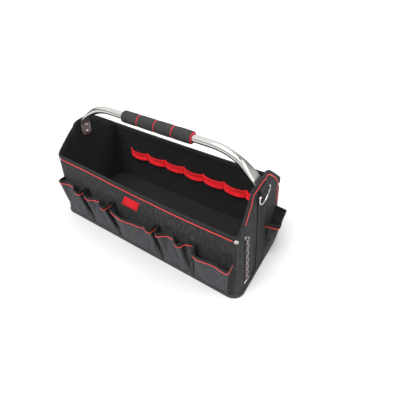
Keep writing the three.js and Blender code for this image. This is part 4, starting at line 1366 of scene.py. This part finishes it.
class SewToolLoops(Operator):
    """Sews the red elastic band inside the back wall into a row of loops"""

    bl_idname = "toolbag.sew_tool_loops"
    bl_label = "Sew tool loops"

    loop_steps = 26
    band_rows = 12
    sewn_end = 2 * MM
    edge_taper = 0.5
    ridge = 0.2 * MM
    tack_width = 1.3
    # The wave that makes the loops uneven, and the least and the spread of their droop and waist.
    uneven_step = 2.4
    uneven_from = 0.7
    droop = (0.6 * MM, 1.8 * MM)
    waist = (0.10, 0.12)

    def execute(self, context):
        bag = context.scene.tool_bag
        fittings = bag.fittings
        low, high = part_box("tool_loop_band")
        share = np.arange(fittings.loops * self.loop_steps + 1) / self.loop_steps
        x = fittings.loop_from + share * fittings.loop_pitch
        bulge = fittings.loop_bulge * np.sqrt(np.abs(np.sin(np.pi * share)))
        x = np.concatenate([[x[0] - self.sewn_end], x, [x[-1] + self.sewn_end]])
        bulge = np.pad(bulge, 1)
        up = np.linspace(0.0, 1.0, self.band_rows)[:, None]
        z = lerp(low.z, high.z, up)
        loop = np.floor(np.clip(share, 0, fittings.loops - 0.001))
        wave = 0.5 + 0.5 * np.sin(loop * self.uneven_step + self.uneven_from)
        uneven = np.pad(wave, 1)
        droop = bulge / fittings.loop_bulge * (self.droop[0] + self.droop[1] * uneven)
        waist = 1.0 - (self.waist[0] + self.waist[1] * uneven) * np.sin(np.pi * up) ** 2
        settled_bulge = bulge * waist
        face = bag.body.half_width - bag.body.wall - bag.pockets.gap - fittings.elastic / 2
        wall = back_relief(bag.body, x, z)
        grid = stacked(np.broadcast_to(x, z.shape[:1] + x.shape), face + wall - settled_bulge, z - droop)
        grid = grid[:, ::-1]
        edge = tapered(self.band_rows, self.edge_taper)
        half = (fittings.elastic / 2 * edge)[:, None]
        fade = ridges(grid, grid_normals(grid), self.ridge)
        band = add_piece("tool_loops", [sheet_part(grid, half, half, 0, fade)], ["elastic"],
                         replaces=("tool_loop_band",))
        bars = []
        stitch, gap, width = bag.thread.plain()
        tack = (stitch, gap, width * self.tack_width)
        for index in range(fittings.loops + 1):
            column = grid.shape[1] - 2 - index * self.loop_steps
            bars += sewn_line(grid, (slice(1, -1), column), fittings.elastic / 2, tack)
        add_piece("tool_loop_bar_tacks", bars, ["label"])
        return {"FINISHED"}


# Handle and grip

class BendHandle(Operator):
    """Bends the steel tube handle and flattens its ends into riveted plates"""

    bl_idname = "toolbag.bend_handle"
    bl_label = "Bend handle"

    sides = 56
    bend_steps = 26
    plate_steps = 14
    plate_squareness = 0.45
    straight_steps = 40
    middle_gap = 2 * MM
    dense_points = 260
    ease_points = 15
    corner_ease = 9 * MM
    corner_power = 2.6
    corner_least = 0.06

    def execute(self, context):
        bag = context.scene.tool_bag
        fittings = bag.fittings
        right = self.half(bag, 1)
        left = self.half(bag, -1)
        stops = np.concatenate([left[::-1], right])
        path = stacked(stops[:, 0], np.zeros(len(stops)), stops[:, 1])
        flat = stops[:, 2]
        ahead = unit(np.gradient(path, axis=0))
        across = np.array([0.0, 1.0, 0.0])
        outward = np.cross(across, ahead)
        angle = round_angles(self.sides)
        power = lerp(1.0, self.plate_squareness, flat)[:, None]
        side = np.sign(np.cos(angle)) * np.abs(np.cos(angle)) ** power
        depth = np.sign(np.sin(angle)) * np.abs(np.sin(angle)) ** power
        half_width = lerp(fittings.tube, fittings.plate_half_width, flat)[:, None]
        half_depth = lerp(fittings.tube, fittings.plate_half_depth, flat)[:, None]
        rounding = self.end_rounding(path)[:, None]
        grid = path[:, None] + (side * half_width * rounding)[..., None] * across
        grid = grid + (depth * half_depth * rounding ** 0.5)[..., None] * outward[:, None]
        pressed = np.broadcast_to(flat[:, None], grid.shape[:2])
        add_piece("handle", [grid_part(grid, False, None, pressed)], ["steel"],
                  replaces=("handle_tube",))
        return {"FINISHED"}

    def half(self, bag, end):
        """Rows of place along, height and flatness from the handle's middle to the foot of one plate."""
        fittings = bag.fittings
        plan = BagPlan(bag.body)
        start = fittings.handle_centre + end * fittings.handle_straight
        middle_end = fittings.handle_centre + end * self.middle_gap
        straight = np.linspace(middle_end, start, self.straight_steps, endpoint=False)
        rows = [[x, fittings.handle_height, 0.0] for x in straight]
        for angle in np.linspace(0.0, fittings.bend_end, self.bend_steps):
            rows.append([start + end * fittings.bend_radius * math.sin(angle),
                         fittings.handle_height - fittings.bend_radius * (1 - math.cos(angle)),
                         float(smooth_step(angle, fittings.flat_from, fittings.bend_end))])
        inset = bag.body.wall + SEAT_GAP + fittings.plate_half_depth
        for z in np.linspace(fittings.plate_top, fittings.plate_bottom, self.plate_steps):
            rows.append([float(plan.end_face(end, z)) - end * inset, z, 1.0])
        return self.eased_bend(np.array(rows))

    def eased_bend(self, rows):
        """The same rows with the kink above the plate rounded off."""
        dense = resampled(rows * np.array([1.0, 1.0, MM]), self.dense_points)
        ease = np.hanning(self.ease_points)
        ease = ease / ease.sum()
        reach = self.ease_points // 2
        padded = np.pad(dense, ((reach, reach), (0, 0)), mode="reflect", reflect_type="odd")
        smooth = np.stack([np.convolve(padded[:, axis], ease, mode="valid") for axis in range(3)], axis=1)
        smooth[:, 2] = np.clip(smooth[:, 2] / MM, 0.0, 1.0)
        return smooth[::2]

    def end_rounding(self, path):
        """Less than 1 close to the plates' feet, so that they end in a round."""
        along = distances(path)
        from_end = np.minimum(along, along[-1] - along)
        share = np.clip(from_end / self.corner_ease, 0.0, 1.0)
        return np.sqrt(np.clip(1.0 - (1.0 - share) ** self.corner_power, self.corner_least, 1.0))


class FitGrip(Operator):
    """Turns the foam grip with its grooves and the rings that sit in them"""

    bl_idname = "toolbag.fit_grip"
    bl_label = "Fit grip"

    sides = 72
    rounding = 3.2 * MM
    groove_half = 1.35 * MM
    sink = 0.3 * MM
    squeezed = 0.35 * MM
    lip = 1.7 * MM
    lip_rounding = 0.9 * MM
    pinch = 0.45 * MM
    pinch_reach = 6 * MM
    groove_slope = 0.15 * MM
    bevel = 0.5 * MM
    end_steps = 7
    segment_steps = 16
    lip_steps = 5

    def execute(self, context):
        fittings = context.scene.tool_bag.fittings
        low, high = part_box("foam_grip")
        rings = [middle(f"grip_ring_{index}", 0) for index in (1, 2, 3)]
        bore = fittings.tube + SEAT_GAP
        base = (0.0, 0.0, fittings.handle_height)
        axis = (1.0, 0.0, 0.0)
        rows = self.profile(fittings, low.x, high.x, rings, bore)
        foam = turned_part(rows, base, axis, self.sides, True)
        grip = add_piece("grip_foam", [foam], ["foam"], replaces=("foam_grip",))
        outer = fittings.grip - self.sink
        slim = span("grip_ring_1", 0) / 2 - self.squeezed
        bands = [(f"grip_ring_{index + 1}", place, slim, fittings.groove + SEAT_GAP, outer)
                 for index, place in enumerate(rings)]
        bands.append(("grip_ring_end", middle("grip_ring_end", 0), span("grip_ring_end", 0) / 2, bore,
                      fittings.grip - self.lip - SEAT_GAP))
        for name, place, half, inner, outer in bands:
            band = turned_part(self.ring_profile(place, half, inner, outer), base, axis, self.sides, True)
            add_piece(f"{name}_band", [band], ["ring"], replaces=(name,))
        return {"FINISHED"}

    def profile(self, fittings, left, right, rings, bore):
        """Radius and place along the grip: bore, rounded end, pinched segments, grooves and a lip."""
        grip = fittings.grip
        rows = [(bore, left), (lerp(bore, grip, 0.5), left)]
        for angle in np.linspace(0.0, QUARTER_TURN, self.end_steps):
            rows.append((grip - self.rounding * (1 - math.sin(angle)),
                         left + self.rounding * (1 - math.cos(angle))))
        start = left + self.rounding
        for stop in [*rings, right]:
            edge = stop - self.groove_half if stop in rings else right
            for place in np.linspace(start, edge, self.segment_steps)[1:]:
                squeeze = math.exp(-((edge - place) / self.pinch_reach) ** 2)
                if start > left + self.rounding:
                    squeeze += math.exp(-((place - start) / self.pinch_reach) ** 2)
                rows.append((grip - self.pinch * min(squeeze, 1.0), place))
            if stop in rings:
                start = edge + 2 * self.groove_half
                rows.append((fittings.groove, edge + self.groove_slope))
                rows.append((fittings.groove, start - self.groove_slope))
                rows.append((grip - self.pinch, start))
        lip_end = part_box("grip_ring_end")[1].x - SEAT_GAP
        for angle in np.linspace(0.0, QUARTER_TURN, self.lip_steps):
            rows.append((grip - self.pinch - self.lip_rounding * (1 - math.cos(angle)),
                         lip_end - self.lip_rounding * (1 - math.sin(angle))))
        return rows + [(grip - self.lip, lip_end), (grip - self.lip, right), (bore, right)]

    def ring_profile(self, place, half, inner, outer):
        """A band of rounded section."""
        bevel = self.bevel
        near = [(inner, half), (outer - bevel, half), (outer - 0.15 * bevel, half - 0.3 * bevel)]
        near.append((outer, half - bevel))
        rows = [(radius, place - reach) for radius, reach in near]
        return rows + [(radius, place + reach) for radius, reach in reversed(near)]


# End straps and rings

class SewEndStraps(Operator):
    """Sews the webbing straps up both ends and the tabs that hold the rings"""

    bl_idname = "toolbag.sew_end_straps"
    bl_label = "Sew end straps"

    strap_rows = 70
    strap_columns = 20
    strap_half = 0.8 * MM
    strap_taper = (0.4, 0.85)
    strap_clear = slice(2, -8)
    tab_half = 0.62 * MM
    tab_taper = 0.5
    tab_steps = 40
    tab_columns = 20
    tab_seams = (4, 7)
    # The tab's fold: room behind it, clearance and degrees round the bar, and the tops of its layers.
    behind = 2.2 * MM
    bar_clear = 2.55 * MM
    fold_from = 100
    fold_to = -160
    fold_steps = 28
    outer_top = 1.6 * MM
    inner_top = 0.3 * MM

    def execute(self, context):
        bag = context.scene.tool_bag
        plan = BagPlan(bag.body)
        fine = bag.thread.plain()
        for side, end in SIDES.items():
            strap_node = f"end_webbing_{side}"
            tab_node = f"ring_tab_{side}"
            grid = self.strap_grid(plan, strap_node, end)
            half = self.strap_half * tapered(self.strap_columns, *self.strap_taper)
            strap = add_piece(f"end_strap_{side}", [sheet_part(grid, half, half)], ["webbing"],
                              replaces=(strap_node,))
            tab_path = self.tab_path(plan, end)
            tab_grid = self.tab_grid(tab_node, tab_path, end)
            tab_half = self.tab_half * tapered(self.tab_columns, self.tab_taper)
            tab = add_piece(f"ring_loop_{side}", [sheet_part(tab_grid, tab_half, tab_half)], ["webbing"],
                            replaces=(tab_node,))
            stitches = []
            for column in BESIDE_EDGES:
                stitches += sewn_line(grid, (self.strap_clear, column), self.strap_half, fine)
            for row in self.tab_seams:
                stitches += sewn_line(tab_grid, (row, CLEAR_OF_ENDS), self.tab_half, fine)
            add_piece(f"end_strap_stitches_{side}", stitches, ["plain_thread"])
        return {"FINISHED"}

    def strap_grid(self, plan, node, end):
        """Rows up the strap, columns across it."""
        low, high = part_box(node)
        z = np.linspace(low.z, high.z, self.strap_rows)[:, None]
        y = np.linspace(low.y, high.y, self.strap_columns)[::end][None, :]
        return plan.end_point(end, y, z, SEAT_GAP + self.strap_half)

    def tab_path(self, plan, end):
        """The tab's fold from the side: stand-off and height, down the outside, round the bar and up."""
        bar = hinge_point(end)
        foot = float(plan.end_face(end, bar.z))
        standoff = end * (bar.x - foot)
        top = span("ring_tab_right", 2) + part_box("ring_tab_right")[0].z
        behind = end * (float(plan.end_face(end, top)) - foot) + self.behind
        bend = self.bar_clear + self.tab_half
        angles = np.radians(np.linspace(self.fold_from, self.fold_to, self.fold_steps))
        rows = [(behind + self.outer_top, top)]
        rows += [(standoff + bend * math.cos(angle), bar.z + bend * math.sin(angle)) for angle in angles]
        rows.append((behind + self.inner_top, top))
        path = resampled(np.array(rows), self.tab_steps)
        return path + np.array([end * foot, 0.0])

    def tab_grid(self, node, path, end):
        """The tab's cloth: rows along the fold, columns across the tab."""
        low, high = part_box(node)
        y = np.linspace(low.y, high.y, self.tab_columns)[::-end][None, :]
        return stacked(end * path[:, :1], y, path[:, 1:])


def hinge_point(end):
    """A ring's hinge at the middle of its bar."""
    name = "ring_right" if end > 0 else "ring_left"
    joint = next(joint for joint in frame["joints"] if joint["child"] == name)
    return Vector(joint["pos_m"])


class HangRings(Operator):
    """Bends the wire rings that hang from the end straps"""

    bl_idname = "toolbag.hang_rings"
    bl_label = "Hang rings"

    bow_steps = 90
    bar_steps = 40
    wire_sides = 20
    bow_power = 0.8
    path_points = 160
    easing = 6

    def execute(self, context):
        fittings = context.scene.tool_bag.fittings
        for side, end in SIDES.items():
            bar = hinge_point(end)
            angle = np.linspace(0.0, np.pi, self.bow_steps)
            bow_y = bar.y - fittings.ring_half_width * np.cos(angle)
            bow_z = bar.z - fittings.ring_drop * np.sin(angle) ** self.bow_power
            bar_y = np.linspace(bow_y[-1], bow_y[0], self.bar_steps)[1:-1]
            path = stacked(bar.x, np.concatenate([bow_y, bar_y]),
                           np.concatenate([bow_z, np.full(len(bar_y), bar.z)]))
            closed = np.concatenate([path, path[:1]])
            path = resampled(closed, self.path_points + 1)[:-1]
            for _ in range(self.easing):
                path = 0.5 * path + 0.25 * (np.roll(path, 1, axis=0) + np.roll(path, -1, axis=0))
            part = tube_part(path, fittings.wire, self.wire_sides, (1.0, 0.0, 0.0))
            add_piece(f"end_ring_{side}", [part], ["nickel"], body=f"ring_{side}",
                      replaces=(f"d_ring_{side}",))
        return {"FINISHED"}


# Rivets, label and chain

class SetRivets(Operator):
    """Sets the domed rivets at the rim's corners and on the handle's plates"""

    bl_idname = "toolbag.set_rivets"
    bl_label = "Set rivets"

    sides = 40
    rim_turn = {"right": math.radians(58), "left": math.radians(84)}
    # Shares of the radius and the height: the rolled edge, the dome over it, and its tip.
    edge_rows = ((0.9, -0.25), (0.97, 0.0), (1.0, 0.14), (0.985, 0.3), (0.93, 0.42), (0.86, 0.5))
    dome_radius = 0.87
    dome_base = 0.4
    dome_from = 0.25
    dome_steps = 6
    tip = 0.05

    def execute(self, context):
        bag = context.scene.tool_bag
        fittings = bag.fittings
        plan = BagPlan(bag.body)
        rim_size = (fittings.rivet, fittings.rivet_height)
        plate_size = (fittings.plate_rivet, fittings.rivet_height)
        for side, end in SIDES.items():
            node = f"rim_rivet_front_{side}"
            angle = self.rim_turn[side]
            axis = (end * math.cos(angle), -math.sin(angle), 0.0)
            base = plan.corner_point(end, -1, middle(node, 2), angle, SEAT_GAP + bag.body.hem_swell)
            self.rivet(node, base, axis, rim_size)
            node = f"rim_rivet_back_{side}"
            self.rivet(node, self.foot(node, end), (end, 0.0, 0.0), rim_size)
            for place in ("upper", "lower"):
                node = f"plate_rivet_{side}_{place}"
                self.rivet(node, self.foot(node, -end), (-end, 0.0, 0.0), plate_size)
        return {"FINISHED"}

    def foot(self, node, end):
        """The middle of the face that a rivet sits on, where its axis points along or against the length."""
        low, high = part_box(node)
        return (low.x if end > 0 else high.x, middle(node, 1), middle(node, 2))

    def rivet(self, node, base, axis, size):
        """A domed head with a rolled edge, set a little into the cloth or plate."""
        rows = list(self.edge_rows)
        for angle in np.linspace(self.dome_from, QUARTER_TURN, self.dome_steps, endpoint=False):
            rise = lerp(self.dome_base, 1.0, math.sin(angle))
            rows.append((self.dome_radius * math.cos(angle), rise))
        rows.append((self.tip, 1.0))
        head = turned_part(rows, base, axis, self.sides, False, size)
        head.fade[:] = 1.0
        add_piece(f"{node}_head", [head], ["nickel"], replaces=(node,))


class SewLabel(Operator):
    """Sews the bare slanted patch on the front"""

    bl_idname = "toolbag.sew_label"
    bl_label = "Sew label"

    columns = 30
    rows = 20
    border_height = 0.35 * MM
    border_inner = (1.6 * MM, 3.0 * MM)
    border_outer = (0.0, 0.8 * MM)
    stitch_lift = 0.2 * MM

    def execute(self, context):
        bag = context.scene.tool_bag
        plan = BagPlan(bag.body)
        up = np.linspace(0.0, 1.0, self.rows)[:, None]
        across = np.linspace(0.0, 1.0, self.columns)[None, :]
        along = lerp(LABEL.left, LABEL.right, across) + (up - 0.5) * LABEL.slant
        z = np.broadcast_to(lerp(LABEL.bottom, LABEL.top, up), along.shape)
        out = SEAT_GAP + LABEL.thickness / 2 + front_relief(bag.body, along, z)
        grid = plan.front_point(along, z, out)
        border = np.minimum(np.minimum(across, 1 - across) * (LABEL.right - LABEL.left),
                            np.minimum(up, 1 - up) * (LABEL.top - LABEL.bottom))
        raised = self.border_height * (1.0 - smooth_step(border, *self.border_inner))
        raised = raised * smooth_step(border, *self.border_outer)
        half = LABEL.thickness / 2
        patch = add_piece("front_label", [sheet_part(grid, half + raised, half)], ["label"],
                          replaces=("label_patch",))
        lift = half + self.stitch_lift
        stitches = []
        for row in BESIDE_EDGES:
            stitches += sewn_line(grid, (row, CLEAR_OF_ENDS), lift, bag.thread.plain())
        for column in BESIDE_EDGES:
            stitches += sewn_line(grid, (CLEAR_OF_ENDS, column), lift, bag.thread.plain())
        add_piece("front_label_stitches", stitches, ["label"])
        return {"FINISHED"}


class HangChain(Operator):
    """Hangs the chain of interlocked links, with its stud and toggle bar, on the right end"""

    bl_idname = "toolbag.hang_chain"
    bl_label = "Hang chain"

    link_steps = 40
    wire_sides = 12
    place_y = -73 * MM
    top = 146 * MM
    standoff = 4.2 * MM
    bite = 0.2 * MM
    # Stud and toggle bar are turned from shares of their radius and length.
    stud_radius = 4.5 * MM
    stud_height = 1.8 * MM
    stud_sides = 36
    stud_rows = ((0.4, 0.0), (1.0, 0.0), (1.0, 0.35), (0.94, 0.6), (0.75, 0.85), (0.4, 1.0), (0.02, 1.04))
    toggle_half = 11 * MM
    toggle_radius = 1.6 * MM
    toggle_sides = 24
    toggle_rows = ((0.1, 0.0), (0.8, 0.01), (1.0, 0.05), (1.0, 0.46), (1.12, 0.48), (1.12, 0.52), (1.0, 0.54),
                   (1.0, 0.95), (0.8, 0.99), (0.1, 1.0))

    def execute(self, context):
        bag = context.scene.tool_bag
        fittings = bag.fittings
        plan = BagPlan(bag.body)
        pitch = 2 * (fittings.link_half_length - fittings.link_wire) + self.bite
        head = plan.end_point(1, self.place_y, self.top, self.standoff)
        foot = plan.end_point(1, self.place_y, self.top - fittings.chain_links * pitch, self.standoff)
        down = unit(foot - head)
        along = np.array([0.0, 1.0, 0.0])
        outward = unit(np.cross(along, down))
        parts = []
        for index in range(fittings.chain_links):
            side = outward if index % 2 == 0 else along
            parts.append(self.link(fittings, head + index * pitch * down, down, side))
        base = plan.end_point(1, self.place_y, self.top, SEAT_GAP)
        size = (self.stud_radius, self.stud_height)
        parts.append(turned_part(self.stud_rows, base, (1, 0, 0), self.stud_sides, False, size))
        drop = (fittings.chain_links - 1) * pitch + fittings.link_half_length + fittings.link_wire / 2
        base = head + drop * down - self.toggle_half * along
        size = (self.toggle_radius, 2 * self.toggle_half)
        parts.append(turned_part(self.toggle_rows, base, along, self.toggle_sides, False, size))
        add_piece("tape_chain_links", parts, ["chain"], replaces=("tape_chain",))
        return {"FINISHED"}

    def link(self, fittings, centre, down, side):
        """One oval link."""
        angle = round_angles(self.link_steps)
        straight = fittings.link_half_length - fittings.link_half_width
        along = fittings.link_half_width * np.cos(angle) + np.sign(np.cos(angle)) * straight
        across = fittings.link_half_width * np.sin(angle)
        path = centre + along[:, None] * down + across[:, None] * side
        return tube_part(path, fittings.link_wire, self.wire_sides, np.cross(down, side))


# Rim stitches

class StitchRim(Operator):
    """Stitches the hem round the rim and the seams at the corners"""

    bl_idname = "toolbag.stitch_rim"
    bl_label = "Stitch rim"

    end_line_from = -76 * MM
    end_line_bend = 60 * MM
    end_line_to = 84 * MM
    end_line_drop = 8 * MM
    end_line_points = 160
    seam_line_y = 80.5 * MM
    seam_line_top = 162 * MM
    seam_line_bottom = {"right": 117 * MM, "left": 12 * MM}
    seam_line_points = 60
    # Plain seams on and beside the lapped cloth at a corner: their reach up, degrees round it and lift.
    lap_line = (10 * MM, 152 * MM)
    on_lap = 49
    beside_lap = 38
    lap_lift = 0.05 * MM

    def execute(self, context):
        bag = context.scene.tool_bag
        bold = bag.thread.contrast()
        plan = BagPlan(bag.body)
        grid = shell_grid(plan)
        row = next(i for i, line in enumerate(grid.rows) if line.depth == bag.body.hem_stitch)
        path = grid.points[row]
        normals = grid_normals(np.concatenate([grid.points, grid.points[:, :1]], axis=1))[row, :-1]
        path = path + normals * STITCH_LIFT
        front = np.arange(0, run_start(1) + 1)
        left_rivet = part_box("rim_rivet_front_left")[1].x
        right_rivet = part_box("rim_rivet_front_right")[0].x
        front = front[(path[front, 0] > left_rivet) & (path[front, 0] < right_rivet)]
        back = np.arange(run_start(4), run_start(5) + 1)
        red = stitch_part(path[front], normals[front], *bold)
        red += stitch_part(path[back], normals[back], *bold)
        seam = []
        for side, end in SIDES.items():
            red += stitch_part(*self.end_line(plan, end), *bold)
            z = np.linspace(self.seam_line_top, self.seam_line_bottom[side], self.seam_line_points)
            line = plan.end_point(end, self.seam_line_y, z, STITCH_LIFT)
            seam += stitch_part(line, (end, 0.0, 0.0), *bold)
        add_piece("rim_stitches", red, ["thread"])
        add_piece("corner_seam_stitches", seam, ["thread"])
        plain = []
        z = np.linspace(*self.lap_line, self.seam_line_points)
        for end in SIDES.values():
            for face in (-1, 1):
                for degrees, lift in ((self.on_lap, bag.body.lap), (self.beside_lap, 0.0)):
                    angle = math.radians(degrees)
                    line = plan.corner_point(end, face, z, angle, lift + self.lap_lift)
                    out = (end * math.cos(angle), face * math.sin(angle), 0.0)
                    plain += stitch_part(line, out, *bag.thread.plain())
        add_piece("corner_lap_stitches", plain, ["plain_thread"])
        return {"FINISHED"}

    def end_line(self, plan, end):
        """The hem's stitch row over an end wall, bent down to the rivet at the back, and its normal."""
        body = plan.body
        y = np.linspace(self.end_line_from, self.end_line_to, self.end_line_points)
        top = plan.end_top(end, y)
        stretch = np.hypot(1.0, np.gradient(top, y))
        drop = self.end_line_drop * smooth_step(y, self.end_line_bend, self.end_line_to)
        depth = body.hem_stitch * stretch + drop
        z = top - depth
        swell = body.hem_swell * (1.0 - smooth_step(depth / stretch, body.hem, body.hem + HEM_STEP))
        line = plan.end_point(end, y, z, swell + flank_relief(body, y, z) + STITCH_LIFT)
        return line, (end, 0.0, 0.0)


# Stage

class SetStage(Operator):
    """Sets up the camera, the pale floor and the soft studio light"""

    bl_idname = "toolbag.set_stage"
    bl_label = "Set stage"

    sensor = 36.0
    clip_start = 0.02
    clip_end = 60.0
    floor_half = 9.0
    floor_drop = 0.3 * MM
    horizon_band = (0.16, 0.42)
    side_band = (-0.1, 0.5)
    sun_width = 40.0
    key_place = (-0.05, -1.0, 1.75)
    fill_place = (1.2, 0.3, 0.8)

    def execute(self, context):
        scene = context.scene
        stage = scene.tool_bag.stage
        self.camera(scene, stage)
        self.floor(scene)
        self.surround(scene, stage)
        self.soft_sun(scene, "key_light", stage.key, self.key_place)
        self.soft_sun(scene, "fill_light", stage.fill, self.fill_place)
        scene.view_settings.view_transform = "Standard"
        return {"FINISHED"}

    def camera(self, scene, stage):
        """A camera at the place and angle that the bag is seen from."""
        lens = bpy.data.cameras.new("bag_camera")
        lens.sensor_width = self.sensor
        lens.lens = stage.lens
        lens.shift_x = stage.shift_x
        lens.shift_y = stage.shift_y
        lens.clip_start = self.clip_start
        lens.clip_end = self.clip_end
        camera = bpy.data.objects.new("bag_camera", lens)
        camera.location = stage.eye
        camera.rotation_euler = (QUARTER_TURN - stage.elevation, 0.0, stage.azimuth)
        scene.collection.objects.link(camera)
        scene.camera = camera

    def floor(self, scene):
        """A wide pale floor just under the bag."""
        half = self.floor_half
        corners = [(-half, -half, 0.0), (half, -half, 0.0), (half, half, 0.0), (-half, half, 0.0)]
        mesh = bpy.data.meshes.new("studio_floor")
        mesh.from_pydata(corners, [], [(0, 1, 2, 3)])
        mesh.materials.append(finish_of("floor"))
        floor = bpy.data.objects.new("studio_floor", mesh)
        floor.location.z = -self.floor_drop
        scene.collection.objects.link(floor)

    def surround(self, scene, stage):
        """Light from all round: bright above, with a dark band near the horizon for metal to reflect."""
        world = bpy.data.worlds.new("studio")
        world.use_nodes = True
        tree = world.node_tree
        background = tree.nodes["Background"]
        direction = tree.nodes.new("ShaderNodeTexCoord")
        parts = tree.nodes.new("ShaderNodeSeparateXYZ")
        tree.links.new(direction.outputs["Generated"], parts.inputs[0])
        bands = (("Z", "Color", (*self.horizon_band, stage.horizon, 1.0)),
                 ("X", "Strength", (*self.side_band, stage.surround, stage.surround * stage.shade)))
        for axis, target, values in bands:
            band = tree.nodes.new("ShaderNodeMapRange")
            band.interpolation_type = "SMOOTHSTEP"
            for socket, value in zip(band.inputs[1:5], values):
                socket.default_value = value
            tree.links.new(parts.outputs[axis], band.inputs["Value"])
            tree.links.new(band.outputs["Result"], background.inputs[target])
        scene.world = world

    def soft_sun(self, scene, name, strength, place):
        """A wide soft light that shines from a place to the bag."""
        light = bpy.data.lights.new(name, "SUN")
        light.energy = strength
        light.angle = math.radians(self.sun_width)
        lamp = bpy.data.objects.new(name, light)
        lamp.location = place
        lamp.rotation_euler = (-Vector(place)).to_track_quat("-Z", "Y").to_euler()
        scene.collection.objects.link(lamp)


OPERATORS = (SetStage, SewShell, LayBase, SewPockets, SewToolLoops, BendHandle, FitGrip, SewEndStraps,
             HangRings, SetRivets, SewLabel, HangChain, StitchRim)


class ToolBagPanel(Panel):
    """Lists the steps that dress the tool bag"""

    bl_idname = "VIEW3D_PT_tool_bag"
    bl_label = "Tool Bag"
    bl_space_type = "VIEW_3D"
    bl_region_type = "UI"
    bl_category = "Tool Bag"

    def draw(self, context):
        for operator in OPERATORS:
            self.layout.operator(operator.bl_idname)


GROUPS = (BodySettings, PocketSettings, FittingSettings, ThreadSettings, ColourSettings, StageSettings,
          ToolBagSettings)


def register():
    for each in (*GROUPS, *OPERATORS, ToolBagPanel):
        bpy.utils.register_class(each)
    bpy.types.Scene.tool_bag = PointerProperty(type=ToolBagSettings)


def unregister():
    del bpy.types.Scene.tool_bag
    for each in reversed((*GROUPS, *OPERATORS, ToolBagPanel)):
        bpy.utils.unregister_class(each)


def main():
    """Dresses the bag step by step."""
    register()
    for operator in OPERATORS:
        group, name = operator.bl_idname.split(".")
        getattr(getattr(bpy.ops, group), name)()


if __name__ == "__main__":
    main()
